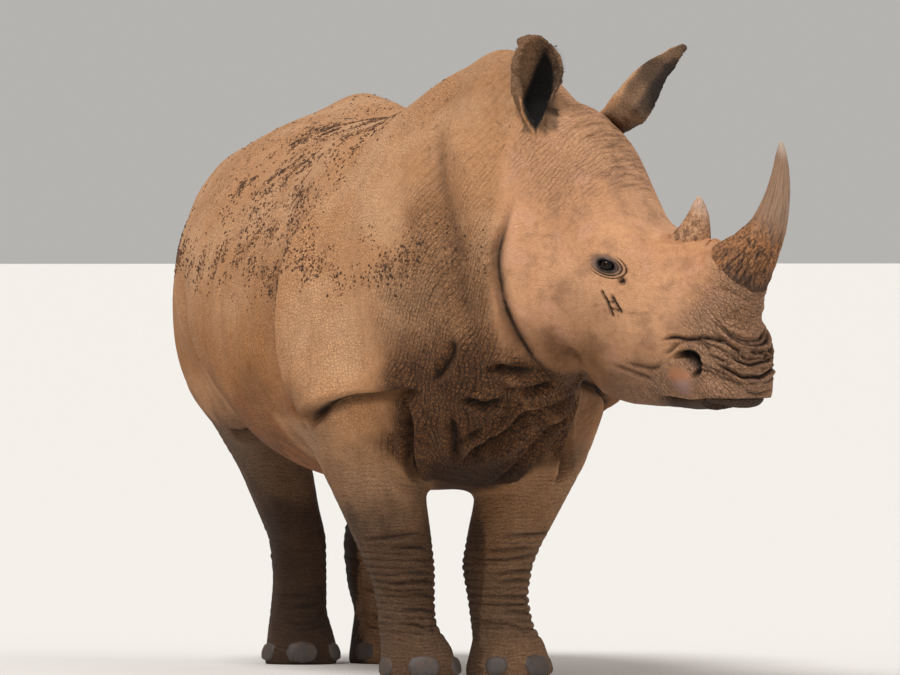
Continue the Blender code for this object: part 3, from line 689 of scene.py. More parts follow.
# %% [markdown]
# ## Ribs, rings and the weave of the neck
#
# Smaller relief repeats, so it comes from waves instead of single lines: a wave along the body for
# the ribs, level rings round the legs, and rings round the neck that slant down to the chest. A
# little noise added to each wave keeps it from looking turned on a lathe.


# %% Press the repeating wrinkles in
def wander(points, scale):
    """A smooth noise at each point, about -1 to 1, with scale lumps to a metre."""
    return np.array([noise.noise(Vector(point) * scale) for point in points])


def waves(chosen, phase, height, wobble, scale=7.0, dark=0.0):
    """Rounded ridges with narrow valleys between, one for each whole number of the phase.

    chosen is a mask. dark says how dark the valleys are painted in the mask of the folds.
    """
    near = np.flatnonzero(chosen > 0.02)
    turn = phase[near] + wobble * wander(hide.at[near], scale)
    valley = np.abs(2 * (turn - np.floor(turn)) - 1) ** 3
    strength = chosen[near] * (0.6 + 0.8 * wander(hide.at[near] + 9.1, 5.0))
    hide.move(hide.out[near], -valley * height * strength, near)
    raise_to(folds, near, valley ** 2 * strength * dark)


x, y, z = hide.at.T
legs = region("leg", "foot", rounds=20)
neck = region("neck", rounds=40) * (1 - region("head", rounds=20))
trunk = region("trunk", rounds=20)
RIB_SPACING = 0.085
KNEE_SPACING = 0.0210
ANKLE_SPACING = 0.026  # on the hind legs
LEG_SPACING = 0.034
WEAVE_SPACING = 0.026
CHEST_SPACING = 0.040
waves(trunk * smooth_step(x, -0.75, -0.45) * smooth_step(x, 0.34, 0.24) * smooth_step(z, 0.70, 0.85)
      * smooth_step(z, 1.40, 1.20), x / RIB_SPACING, 0.005, 0.8, 2.0)
knees = legs * smooth_step(z, 0.09, 0.14) * smooth_step(z, 0.42, 0.34)
waves(knees * (x > 0), z / KNEE_SPACING, 0.0100, 0.6, 4.0, dark=1.0)
waves(knees * (x < 0), z / ANKLE_SPACING, 0.0040, 1.3, dark=0.4)
waves(legs * smooth_step(z, 0.40, 0.60), z / LEG_SPACING, 0.0025, 1.6)
weave = neck * smooth_step(x, 0.66, 0.90)
waves(weave, (0.8 * x - 0.4 * np.abs(y) - 0.45 * z) / WEAVE_SPACING, 0.0045, 1.6, 5.0)
chest = neck * smooth_step(z, 0.95, 0.80)
waves(chest, (0.8 * x + 0.4 * y + 0.6 * z) / CHEST_SPACING, 0.0035, 1.5)
hide.write()
print("ribs, rings and weave pressed in")

# %% Fold the knees and the ankles
LEG_RADIUS = 0.13  # about half the thickness of a leg, before a fold is laid on the skin


def leg_fold(leg, height, turn, half, width, depth, rise=0.0):
    """A level fold round part of a leg. turn is the way it faces in degrees, 0 forwards."""
    low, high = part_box(f"foot_{leg}")
    centre = Vector(((low[0] + high[0]) / 2, (low[1] + high[1]) / 2, height))
    places = []
    for step in np.linspace(-1, 1, 6):
        angle = math.radians(turn + half * step)
        reach = Vector((math.cos(angle), math.sin(angle), 0)) * LEG_RADIUS
        places.append(centre + reach + UP * (rise * step * step))
    crease(places, width, depth, lip=0.4, flap=0.5, fade=0.35, dark=0.7)


FORE_FOLDS = (0.40, 0.365, 0.33, 0.295, 0.26, 0.225, 0.19, 0.155)  # heights over the floor
HIND_FOLDS = (0.40, 0.36, 0.32, 0.21, 0.185, 0.16, 0.135)
draw = np.random.default_rng(5)
for leg in LEGS:
    fore = leg.startswith("front")
    for height in (FORE_FOLDS if fore else HIND_FOLDS):
        facing = draw.uniform(-40, 40) + (0 if fore or height < 0.25 else 180)
        leg_fold(leg, height + draw.uniform(-0.004, 0.004), facing, draw.uniform(45, 85),
                 draw.uniform(0.005, 0.007), draw.uniform(0.004, 0.007) * (1 if fore else 0.7),
                 draw.uniform(-0.015, 0.015))
hide.write()
print("knees and ankles folded")

# %% [markdown]
# ## The eyes
#
# A rhinoceros has a small eye in a thick ring of skin. The lids lie on the eyeball like two heavy
# rims, with folds round them like rings in water. Near each eye the skin is given a height over the
# eyeball: under its surface inside the opening, a few millimetres over it at the lids.

# %% Open the eyelids
LID_LENGTH = 0.0245  # half the opening, towards the muzzle and back
LID_HEIGHT = 0.0130
LID_THICK = 0.0040
LID_REACH = 0.085  # the skin is shaped this far round each eye
EYE_RINGS = ((1.58, 0.0022), (2.05, 0.0030), (2.60, 0.0024))  # radii in openings, and depths
eye_dark = np.zeros(len(hide.at))
eye_ring = np.zeros(len(hide.at))


def eye_axes(side):
    """Forward, up and outward axes of one eye, which looks a little up and forwards."""
    out = (LEFTWARD * side + ALONG * 0.03 + CROWN * 0.10).normalized()
    forward = ALONG * 0.94 + CROWN * 0.34
    forward = (forward - out * forward.dot(out)).normalized()
    up = out.cross(forward) * side
    if up.z < 0:
        up = -up
    return np.array((forward, up, out))


for side, centre in EYES.items():
    near = np.flatnonzero(np.linalg.norm(hide.at - np.array(centre), axis=1) < LID_REACH)
    axes = eye_axes(side)
    u, v, w = ((hide.at[near] - np.array(centre)) @ axes.T).T
    open_share = np.sqrt((u / LID_LENGTH) ** 2 + (v / LID_HEIGHT) ** 2)
    flat = u * u + v * v
    ball = np.sqrt(np.maximum(EYE_RADIUS ** 2 - flat, 0))
    cover = np.sqrt(np.maximum((EYE_RADIUS + LID_THICK) ** 2 - flat, 0))
    lidded = np.maximum(w, cover)
    sunk = np.minimum(w, ball - 0.006)
    inside = smooth_step(open_share, 1.12, 0.92)
    height = lidded * (1 - inside) + sunk * inside
    rings = sum(bell(open_share, ring, 0.10) * depth for ring, depth in EYE_RINGS)
    swing = 0.08 + 0.92 * smooth_step(-v / (np.sqrt(flat) + 1e-6) + 0.35 * u / 0.02, -0.6, 0.5)
    height -= rings * swing * (1 - inside)
    height += 0.004 * bell(open_share, 2.2, 0.9) * smooth_step(v, 0.0, 0.02)
    front = w > -0.03
    hide.move(axes[2], (height - w) * front, near)
    raise_to(folds, near, np.clip(rings / 0.002 * swing, 0, 1) * front)
    raise_to(eye_dark, near, smooth_step(open_share, 1.62, 1.25) * front)
    raise_to(eye_ring, near, smooth_step(open_share, 2.7, 1.6) * front)
hide.write()
print("lids opened round", len(EYES), "eyes")

# %% Cracks under the eyes and the tear pit
EYE_CRACKS = (  # width, depth and form, then the places in the head's frame
    (0.0046, 0.008, dict(fade=0.1), [(0.010, 0.178, -0.066), (0.046, 0.170, -0.086), (0.080, 0.158, -0.114)]),
    (0.0046, 0.008, dict(fade=0.1), [(0.046, 0.172, -0.060), (0.070, 0.165, -0.074), (0.097, 0.158, -0.087)]),
    (0.0036, 0.005, dict(fade=0.2), [(0.040, 0.170, -0.082), (0.066, 0.166, -0.072)]),
    (0.0036, 0.005, dict(fade=0.2), [(0.056, 0.166, -0.094), (0.088, 0.160, -0.084)]),
    (0.0105, 0.010, dict(lip=0.15, fade=0.4), [
        (0.055, 0.172, -0.002), (0.050, 0.174, -0.012), (0.044, 0.174, -0.022)]),
    (0.0035, 0.0022, dict(fade=0.4, dark=0.4), [
        (0.095, 0.159, -0.083), (0.14, 0.150, -0.058), (0.18, 0.141, -0.020)]))
for width, depth, form, places in EYE_CRACKS:
    head_crease(places, width, depth, **form)
PIT_RADIUS = 0.0120
PIT_DEPTH = 0.006
for side in (-1, 1):
    pit = np.linalg.norm(hide.at - np.array(head_point(0.053, 0.172 * side, -0.009)), axis=1)
    pit = np.exp(-(pit / PIT_RADIUS) ** 3)
    hide.move(hide.out, -pit * PIT_DEPTH)
    folds = np.maximum(folds, pit * 1.1)
hide.write()
print("cracks cut under the eyes")

# %% [markdown]
# ## The muzzle
#
# A grazing rhinoceros has a broad square upper lip. The hide over it is folded all round, like the
# bellows of a camera, so most folds here are rings: each runs from one side of the muzzle over the
# front to the other at a height of its own.

# %% Fold the muzzle all round
MUZZLE_CENTRE = 0.33  # along the head, the middle of the rings
MUZZLE_LENGTH = 0.16
MUZZLE_HALF = 0.135  # half its width


def muzzle_ring(height, reach, width, depth, steps=9, turned=0, **details):
    """A fold round the front of the muzzle. height gives the crown for an angle, 0 at the front."""
    places = []
    for number in range(steps):
        angle = math.radians(turned + reach * (2 * number / (steps - 1) - 1))
        along = MUZZLE_CENTRE + MUZZLE_LENGTH * math.cos(angle)
        places.append(head_point(along, MUZZLE_HALF * math.sin(angle), height(angle)))
    crease(places, width, depth, **details)


def waved(level, sag, wave, phase):
    """The height of a ring that sags towards its ends and waves on its way."""
    return lambda angle: (level - sag * angle * angle + wave * math.sin(3.1 * angle + phase)
                          + 0.45 * wave * math.sin(9.0 * angle + 5 * phase))


MUZZLE_RINGS = (  # level, sag, wave and phase; reach in degrees, width, depth, steps, flap, fade, turn
    ((-0.030, 0.001, 0.006, 0.6), 62, 0.0046, 0.015, 15, 0.5, 0.15, 0),
    ((0.024, 0.022, 0.005, 0.0), 66, 0.0044, 0.010, 13, 0.6, 0.25, 0),
    ((0.060, 0.014, 0.006, 2.0), 84, 0.0046, 0.009, 13, 0.6, 0.25, 0),
    ((0.108, 0.018, 0.003, 1.0), 100, 0.0052, 0.014, 13, 0.6, 0.25, 0),
    ((0.134, 0.014, 0.004, 0.4), 64, 0.0075, 0.012, 13, 0.2, 0.25, 0),
    ((0.088, 0.010, 0.005, 2.4), 38, 0.0042, 0.009, 11, 0.3, 0.3, -40),
    ((0.042, 0.010, 0.005, 1.4), 34, 0.0042, 0.008, 11, 0.3, 0.3, 28))
for curve, reach, width, depth, steps, flap, fade, turned in MUZZLE_RINGS:
    muzzle_ring(waved(*curve), reach, width, depth, steps, turned, flap=flap, fade=fade)
SMALL_RINGS = 60
draw = np.random.default_rng(7)
for _ in range(SMALL_RINGS):
    level = draw.uniform(-0.085, 0.130)
    reach = draw.uniform(12, 40)
    turned = draw.uniform(-75, 75)
    muzzle_ring(waved(level, 0.010, draw.uniform(0.002, 0.006), draw.uniform(0, 6)), reach,
                draw.uniform(0.0028, 0.0042), draw.uniform(0.002, 0.005), lip=0.5, fade=0.4, dark=0.65,
                turned=turned)
hide.write()
print("muzzle folded", len(MUZZLE_RINGS) + SMALL_RINGS, "times")

# %% Cut the mouth
MOUTH_ALONG = (0.26, 0.33, 0.39, 0.45, 0.53)  # places along the head
MOUTH_CROWN = (-0.252, -0.214, -0.176, -0.133, -0.076)  # the height of the mouth's line there
MOUTH_DEPTH = 0.016
LIP_BACK = 0.014  # how far the lower lip lies behind the upper
along, _, crown = in_head(hide.at).T
above_mouth = (crown - np.interp(along, MOUTH_ALONG, MOUTH_CROWN)) * 0.87
mouth_here = smooth_step(along, 0.265, 0.33) * (region("head", rounds=3) > 0.5)
slit = np.exp(-np.abs(above_mouth / 0.0060) ** 3) * mouth_here
below = smooth_step(above_mouth, 0.002, -0.010) * mouth_here
hide.move(hide.out, -slit * MOUTH_DEPTH)
hide.move(ALONG, -below * smooth_step(along, 0.30, 0.46) * LIP_BACK)
hide.move(hide.out, -below * smooth_step(above_mouth, -0.045, -0.020) * 0.004)
# The mouth's slit is painted dark in the mask of the folds, as painted shade.
folds = np.maximum(folds, slit * 1.2)
under_lip = below * smooth_step(above_mouth, -0.060, -0.035)
hide.write()
print("mouth cut")

# %% Folds over the nostrils
NOSE_FOLDS = (
    (0.006, 0.008, dict(flap=-0.4, fade=0.2), [
        (0.226, 0.134, -0.090), (0.263, 0.130, -0.051), (0.304, 0.126, -0.029), (0.344, 0.123, 0.005),
        (0.389, 0.114, 0.028), (0.410, 0.096, 0.038)]),
    (0.006, 0.005, dict(flap=-0.5, fade=0.2, dark=0.5), [
        (0.25, 0.134, -0.120), (0.272, 0.128, -0.092), (0.285, 0.127, -0.054), (0.318, 0.126, -0.022),
        (0.362, 0.126, -0.010), (0.402, 0.128, -0.024)]),
    (0.008, 0.005, dict(fade=0.3, dark=0.6), [
        (0.15, 0.15, -0.22), (0.20, 0.14, -0.20), (0.25, 0.13, -0.17), (0.27, 0.125, -0.13)]),
    (0.008, 0.005, dict(fade=0.3, dark=0.6), [
        (0.12, 0.15, -0.25), (0.20, 0.135, -0.225), (0.27, 0.115, -0.20)]))
for width, depth, form, places in NOSE_FOLDS:
    head_crease(places, width, depth, **form)
hide.write()
print("folded over the nostrils", len(NOSE_FOLDS), "times")

# %% [markdown]
# ## The nostrils
#
# Each nostril is a hooked slit, like a comma lying on its side, that opens above and in front of a
# soft flap. The slit goes deep, so here the points are moved straight into the head, not along
# their own normals.

# %% Open the nostrils
nostril_dark = np.zeros(len(hide.at))
nostril_pink = np.zeros(len(hide.at))
NOSTRIL_DEPTH = 0.026
FLAP_RISE = 0.019
HOOK = [(0.290, 0.128, -0.106), (0.312, 0.130, -0.076), (0.346, 0.132, -0.060), (0.372, 0.135, -0.064),
        (0.388, 0.138, -0.080), (0.380, 0.132, -0.106)]
FLAP = (0.346, 0.126, -0.136)
for side in (-1, 1):
    line = on_skin([head_point(a, s * side, c) for a, s, c in HOOK])
    near, distance, _, share = along_line(line, 0.040)
    width = 0.0070 + 0.0090 * np.sin(math.pi * np.clip(share, 0, 1)) ** 1.5
    pit = np.exp(-(distance / width) ** 4)
    rim = bell(distance / width, 1.75, 0.7)
    inward = np.array(LEFTWARD * -side - ALONG * 0.25 + CROWN * 0.2)
    ends = smooth_step(share, 0, 0.2) * smooth_step(share, 1, 0.85)
    hide.at[near] += inward * (pit * ends * NOSTRIL_DEPTH)[:, None] + hide.out[near] * (rim * 0.0035)[:, None]
    # The inside of the slit is painted near black as shade.
    raise_to(nostril_dark, near, pit * ends)
    centre = np.array(head_point(FLAP[0], FLAP[1] * side, FLAP[2]))
    off = in_head(hide.at) - in_head(centre[None])
    soft = np.exp(-(off[:, 0] / 0.050) ** 2 - (off[:, 2] / 0.036) ** 2 - (off[:, 1] / 0.05) ** 2)
    hide.move(hide.out, soft * (1 - nostril_dark) * FLAP_RISE)
    nostril_pink = np.maximum(nostril_pink, smooth_step(soft, 0.15, 0.60))
hide.write()
print("nostrils opened,", int((nostril_dark > 0.5).sum()), "points inside them")

# %% [markdown]
# ## The forehead, the horns' seats and the ears
#
# Between and below the ears the hide wrinkles in arcs. Round each horn it stands up in a rough
# collar, because a horn grows out of the skin as hair and nails do.

# %% Raise a collar round each horn
HORNS = ("horn_front", "horn_rear")
rusty = np.zeros(len(hide.at))
for name, rise, reach in zip(HORNS, (0.011, 0.014), (0.024, 0.026)):
    horn_tree = BVHTree.FromObject(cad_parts[name], bpy.context.evaluated_depsgraph_get())
    low, high = np.array(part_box(name))
    near = np.flatnonzero(((hide.at > low - 0.09) & (hide.at < high + 0.09)).all(1))
    away_from = np.array([horn_tree.find_nearest(point)[3] for point in hide.at[near]])
    collar = bell(away_from, 0.008, reach) * (1 + 0.5 * wander(hide.at[near], 60))
    hide.move(hide.out[near], collar * rise, near)
    raise_to(rusty, near, bell(away_from, 0, reach * 2.2))
hide.write()
print("collars raised round", len(HORNS), "horns")

# %% Wrinkle the forehead
BROW_FOLDS = 26
draw = np.random.default_rng(11)
for number in range(BROW_FOLDS):
    along = -0.44 + 0.0125 * number + draw.uniform(-0.005, 0.005)
    middle_side = draw.uniform(-0.09, 0.09)
    half = draw.uniform(0.06, 0.11)
    height = 0.26 - 0.25 * max(0, along + 0.36)
    places = [head_point(along + draw.uniform(-0.004, 0.004), side, height - 1.2 * side ** 2)
              for side in middle_side + np.linspace(-half, half, 7)]
    crease(places, draw.uniform(0.0035, 0.0048), draw.uniform(0.002, 0.0045) * (1 if number < 16 else 0.55),
           lip=0.5, fade=0.4, dark=0.32)
hide.write()
print("forehead wrinkled", BROW_FOLDS, "times")

# %% [markdown]
# ## The ears
#
# The ears are thick tubes of skin with a rolled rim, caked in mud. Both outlines are bent first: the
# left ear leans over and narrows to its tip, the right one is pinched in above its foot. Each cup is
# then found in the ear's own frame: a drop shape, pointed at the bottom, on the open side.

# %% Bend the outline of the ears
EAR_UP = (-0.160, -0.135, -0.095, -0.055, -0.020, 0.020, 0.044, 0.090, 0.130)  # heights up an ear
LEFT_SHIFT = (0.0, 0.026, 0.058, 0.074, 0.060, 0.044, 0.034, 0.017, 0.007)
LEFT_SCALE = (1.0, 1.20, 1.26, 1.14, 0.88, 0.70, 0.60, 0.46, 0.45)
RIGHT_PINCH = (1.0, 0.55, 0.32, 0.34, 0.58, 0.84, 0.95, 1.0, 1.0)  # of one half of the right ear
EAR_REACH = 0.20  # every point of an ear lies this near to its middle


def shaped(side, place):
    """A place in an ear's frame once its outline is bent."""
    up, across, outward = place.T
    if side > 0:
        across = across * np.interp(up, EAR_UP, LEFT_SCALE) + np.interp(up, EAR_UP, LEFT_SHIFT)
    else:
        across = across * np.where(across > 0, np.interp(up, EAR_UP, RIGHT_PINCH), 1)
    return np.stack([up, across, outward], axis=-1)


def straight_across(up, across):
    """How far across the left ear a place was before the bending."""
    return (across - np.interp(up, EAR_UP, LEFT_SHIFT)) / np.interp(up, EAR_UP, LEFT_SCALE)


on_ears = region("ear_left", rounds=4)
for side, ear in ears.items():
    place = ear.seen(hide.at)
    share = on_ears * (np.linalg.norm(place, axis=1) < EAR_REACH)
    hide.at += ((shaped(side, place) - place) * share[:, None]) @ ear.axes
hide.write()
for side, ear in ears.items():
    calmed(ear.middle - ear.axes[0] * 0.125, 0.045, 6)
print("ears bent")

# %% Cake the ears in mud and hollow the cups
CUP_UP = (-0.112, -0.087, -0.058, -0.017, 0.066, 0.118)  # heights up the cup, from its pointed bottom
CUP_MIDDLE = (-0.014, -0.0145, -0.011, -0.004, 0.018, 0.026)
CUP_HALF = (0.0, 0.0145, 0.031, 0.040, 0.026, 0.0)
CUP_DEPTH = 0.012
near = np.flatnonzero(on_ears > 0.05)
crumbly = np.zeros(len(hide.at))
crumbly[near] = wander(hide.at[near], 80)
in_cup = np.zeros(len(hide.at))
for side, ear in ears.items():
    up, across, outward = ear.seen(hide.at).T
    if side > 0:
        across = straight_across(up, across)
    facing = hide.out @ ear.axes[2]
    reach = np.linalg.norm(hide.at - ear.middle, axis=1) < EAR_REACH
    off = np.abs(across - np.interp(up, CUP_UP, CUP_MIDDLE)) - np.interp(up, CUP_UP, CUP_HALF)
    hollow = smooth_step(off, 0.003, -0.003) * reach * (up > CUP_UP[0]) * (up < CUP_UP[-1])
    hide.move(ear.axes[2], -hide.blurred(hollow, 6) * CUP_DEPTH)
    in_cup = np.maximum(in_cup, hollow * smooth_step(facing, -0.25, 0.10))
    front_of_ear = (outward > -0.02) * (np.abs(across) < 0.05)
    on_ears = np.maximum(on_ears, reach * smooth_step(up, -0.130, -0.105) * front_of_ear)
    if side < 0:
        right_ear = reach
        rim_line = bell(off, 0.006, 0.0035) * (across < -0.005)
        rim_line = rim_line * smooth_step(up, 0.0, -0.03) * reach * smooth_step(facing, -0.1, 0.2)
hide.push(on_ears * (1 - in_cup) * crumbly * (0.0015 + 0.0030 * right_ear))
in_cup = hide.blurred(in_cup, 2)
print("ears caked,", int((in_cup > 0.5).sum()), "points inside the cups")

# %% [markdown]
# ## Thinning the skin
#
# Even squares spend most of their points on the smooth barrel of the body. The Decimate modifier
# merges points where the surface is flat and keeps them in the folds. It is run twice, first on the
# body and then on the head, the chest and the lower forelegs. A vertex group keeps it off the rest.

# %% Thin the skin
BODY_TRIANGLES = 92000
SKIN_TRIANGLES = 196000


def triangle_count(mesh):
    """How many triangles a mesh's faces make."""
    return sum(len(face.vertices) - 2 for face in mesh.polygons)


def matched(points, tree):
    """For each point the number of the nearest one in a KDTree."""
    return np.array([tree.find(point)[1] for point in points])


def thinned(chosen, target):
    """Merges only the chosen points until target triangles are left."""
    group = skin.vertex_groups.new(name="thin")
    group.add(np.flatnonzero(chosen).tolist(), 1.0, "REPLACE")
    with_modifier(skin, "DECIMATE", ratio=target / triangle_count(skin.data), vertex_group="thin",
                  use_collapse_triangulate=True)
    skin.vertex_groups.clear()


source = hide
before = KDTree(len(source.at))
for number, point in enumerate(source.at):
    before.insert(point, number)
before.balance()
finely = region("head", "ear_left", rounds=3) > 0.5
finely |= (region("neck", "leg", rounds=3) > 0.5) & (source.at[:, 0] > 0.72) & (source.at[:, 2] > 0.5)
finely |= (source.at[:, 0] > 0.3) & (source.at[:, 2] > 0.10) & (source.at[:, 2] < 0.42)
fine_count = 2 * int(finely.sum())
thinned(~finely, fine_count + BODY_TRIANGLES)
hide = Hide(skin)
thinned(finely[matched(hide.at, before)], SKIN_TRIANGLES)
hide = Hide(skin)
came_from = matched(hide.at, before)
on_head = in_head(hide.at)
print("skin thinned to", triangle_count(skin.data), "triangles,", int(finely[came_from].sum()), "of",
      len(hide.at), "points in the finer part")

# %% [markdown]
# ## Painted masks
#
# A rhinoceros is grey under its mud. Where it has wallowed the mud dries to tan on the back and the
# sides, stays dark on the chest and the legs, and cracks along every wrinkle. Some of the darker
# masks are painted shade: under the head and the jaw, in the valley down the neck, behind the
# shoulder, under the belly together with its damp mud, between the forelegs, under the lower lip and
# on the hind leg on the right. The legs on the left are painted lighter, as painted light. The masks
# that say where each tone lies are kept on the skin's points as attributes, which the material reads.


# %% Paint the masks on the skin
def paint(name, values):
    """Keeps a mask on the skin's points under a name."""
    layer = skin.data.attributes.new(name, "FLOAT", "POINT")
    layer.data.foreach_set("value", np.clip(values, 0, 1).astype(np.float32))


def soft_region(*names, rounds=12):
    """A region's mask from before the thinning."""
    wanted = [REGIONS[name] for name in names]
    return source.blurred(np.isin(label, wanted).astype(float), rounds)[came_from]


x, y, z = hide.at.T
along, _, crown = on_head.T
ragged = wander(hide.at, 6) * 0.9 + wander(hide.at + 3.3, 19) * 0.4  # makes every edge uneven
head_mask = soft_region("head", rounds=20)
ear_mask = on_ears[came_from]
leg_mask = soft_region("leg", "foot", rounds=25)
neck_mask = soft_region("neck", rounds=40)
trunk_mask = soft_region("trunk", rounds=40)

muzzle_mask = head_mask * smooth_step(along + 0.35 * np.abs(crown) + 0.06 * ragged, 0.18, 0.38)
under_jaw = head_mask * smooth_step(crown, -0.35, -0.39) * smooth_step(along, 0.12, 0.04)
face_mask = head_mask * (1 - under_jaw)
throat_mask = (1 - face_mask) * smooth_step(z + 0.08 * ragged, 1.08, 0.88)
throat_mask *= smooth_step(x + 0.08 * ragged + 1.1 * np.maximum(0, 0.80 - z), 0.69, 0.84)
off_legs = 1 - soft_region("leg", "foot", rounds=80) * 0.9
throat_mask *= smooth_step(z, 0.44, 0.54) * smooth_step(x, 0.48, 0.54) * off_legs
# The lower cheek, towards the jaw, is painted darker as shade.
lower_cheek = head_mask * smooth_step(crown + 0.10 * ragged, -0.08, -0.26) * smooth_step(along, -0.17, -0.04)
# The valley between the neck and the shoulder is painted darker as shade.
VALLEY_Z = (0.90, 1.00, 1.20, 1.36, 1.50, 1.60)  # the dark line down the side of the neck
VALLEY_X = (0.92, 0.94, 0.95, 0.90, 0.84, 0.80)
valley_x = np.interp(z, VALLEY_Z, VALLEY_X)
valley = neck_mask * bell(x - 0.06 * ragged, valley_x, 0.034)
valley *= smooth_step(z + 0.1 * ragged, 1.62, 1.25)
RIDGE_Z = (0.70, 0.76, 0.84, 0.93, 1.06, 1.18, 1.26, 1.35)  # the rear edge of the shoulder
RIDGE_X = (0.46, 0.425, 0.385, 0.355, 0.345, 0.355, 0.385, 0.44)
behind = np.interp(z, RIDGE_Z, RIDGE_X) - x  # how far behind that edge
# Just behind that edge the flank is painted darker, as the shade under the overhanging shoulder.
behind_shoulder = np.exp(-np.maximum(behind - 0.02, 0) / 0.16) * smooth_step(behind, -0.008, 0.012)
behind_shoulder *= trunk_mask * smooth_step(z + 0.05 * ragged, 1.32, 1.10) * smooth_step(z, 0.62, 0.72)
# The underside of the head is painted darker as shade.
under_head = head_mask * smooth_step(crown, -0.24, -0.36) * smooth_step(along, 0.30, 0.0)
# The belly is painted darker: damp mud, and painted shade on its underside.
belly_mask = trunk_mask * smooth_step(z + 0.10 * ragged, 0.92, 0.66) * smooth_step(x, 0.66, 0.50)
flank_mask = trunk_mask * smooth_step(x + 0.08 * ragged, 0.42, 0.30)
flank_mask = flank_mask * smooth_step(z + 0.12 * ragged, 1.22, 0.86)
upper_leg = leg_mask * smooth_step(z + 0.10 * ragged, 0.86, 0.60)
neck_net = neck_mask * smooth_step(x + 0.10 * ragged, 0.62, 0.90) * (1 - face_mask)
neck_net = np.maximum(neck_net * (0.35 + 0.65 * smooth_step(z + 0.15 * ragged, 1.55, 1.15)), throat_mask)
leg_tone = 0.40 + 0.60 * smooth_step(z + 0.08 * ragged, 0.60, 0.38)
leg_tone = np.where(x < 0, np.maximum(leg_tone, 0.55), leg_tone)
# The legs on the left are painted lighter, as painted light where the lamps leave them in shade.
leg_tone *= np.where(y > 0, np.where(x > 0, 0.55, 0.25), 1.0)
far_shoulder = smooth_step(y, 0.16, 0.26) * smooth_step(x, 0.44, 0.60)
far_shoulder = far_shoulder * smooth_step(z + 0.06 * ragged, 1.08, 0.90)
far_shoulder *= smooth_step(z, 0.48, 0.60) * (1 - face_mask)
low_neck = neck_mask * smooth_step(z + 0.1 * ragged, 1.32, 1.05) * smooth_step(x + 0.08 * ragged, 0.80, 0.92)
crest = neck_mask * smooth_step(z, 1.48, 1.66)
throat_tone = 0.80 + 0.30 * smooth_step(z, 0.98, 0.80)
# Under the head, low on the cheek, in the valley of the neck and behind the shoulder this darkness is painted
# shade; under the belly it is painted shade and damp mud together. On the chest, the legs and the muzzle it
# is the darker tone of damp mud.
dark = np.maximum.reduce([
    upper_leg * leg_tone, throat_mask * throat_tone, belly_mask * 0.90, flank_mask * 0.20,
    under_head * 0.66, valley * 0.36, lower_cheek * 0.80, muzzle_mask * 0.42,
    behind_shoulder * 0.50, crest * 0.20, far_shoulder * 0.80, low_neck * 0.42])
for name, mask in (("folds", folds), ("eye_dark", eye_dark), ("eye_ring", eye_ring),
                   ("nostril", nostril_dark), ("pink", nostril_pink), ("rust", rusty)):
    paint(name, mask[came_from])
paint("dark", dark)
paint("leg", np.maximum(upper_leg, leg_mask * 0.35))
left_up, left_across = ears[1].seen(hide.at).T[:2]
left_across = straight_across(left_up, left_across)
on_left = (np.linalg.norm(ears[1].seen(hide.at), axis=1) < EAR_REACH) * ear_mask
levels = np.linspace(-0.13, 0.12, 18)
left_rim = [left_across[(on_left > 0.5) & (np.abs(left_up - level) < 0.012)].max(initial=0)
            for level in levels]
from_rim = np.interp(left_up, levels, left_rim) - left_across
inner_edge = smooth_step(left_across + 0.02 * ragged, 0.016, -0.014) * on_left
stripe = on_left * smooth_step(from_rim, 0.016, 0.008) * smooth_step(left_up, -0.08, -0.02)
ear_tone = ear_mask * (0.8 + 0.2 * smooth_step(ragged, -0.2, 0.2)) * (1 - 0.80 * inner_edge)
paint("ear", ear_tone * (1 - rim_line[came_from]))
paint("ochre", flank_mask)
paint("granular", ear_mask * right_ear[came_from])
paint("on_ear", ear_mask)
# Dust lies low on the legs; on the left legs it is laid on fully, which is also painted light where the lamps
# leave them in shade.
dust_and_light_leg = np.where(y > 0, 1.0, 0.4 * smooth_step(x, 0.2, 0.3))
paint("dust", leg_mask * smooth_step(z + 0.06 * ragged, 0.48, 0.22) * dust_and_light_leg)
hind_shade = leg_mask * smooth_step(x, -0.6, -0.75) * smooth_step(z + 0.1 * ragged, 0.80, 0.62) * (y < 0)
between_legs = smooth_step(x, 0.22, 0.34) * smooth_step(np.abs(y), 0.24, 0.16) * smooth_step(z, 0.66, 0.58)
between_legs *= 1 - leg_mask
paint("shade", np.maximum.reduce([hind_shade * 0.55, under_lip[came_from] * 0.85, between_legs * 0.70]))
paint("cup", np.maximum(in_cup[came_from], stripe * 0.7))
paint("head", face_mask * (1 - ear_mask))
paint("muzzle", muzzle_mask)
paint("net", neck_net)
paint("brow", head_mask * (1 - ear_mask) * smooth_step(along + 0.05 * ragged, -0.05, -0.28)
      * smooth_step(crown, -0.05, 0.10))
paint("belly", belly_mask)
for face in skin.data.polygons:
    face.use_smooth = True
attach(skin, "root")
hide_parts(*FLESH)
print("masks painted:", len(skin.data.attributes))

# %% [markdown]
# ## The eyeballs
#
# The solid eye is a faceted ball. A finer ball with a low dome in front for the cornea takes its
# place. A mask on its points tells the material how far each point is from the line of sight.

# %% Make the eyeballs
CORNEA = 0.0012  # how far the dome stands out
CORNEA_REACH = 0.62  # how far round it goes, as an angle in radians
BALL_GAP = 0.0004  # the ball is this much smaller than the solid


def attribute_on(obj, name, values):
    """Keeps one number for each point of an object under a name."""
    obj.data.attributes.new(name, "FLOAT", "POINT").data.foreach_set("value", values.astype(np.float32))


def smooth_shaded(obj):
    """Shades an object without facets."""
    obj.data.polygons.foreach_set("use_smooth", [True] * len(obj.data.polygons))


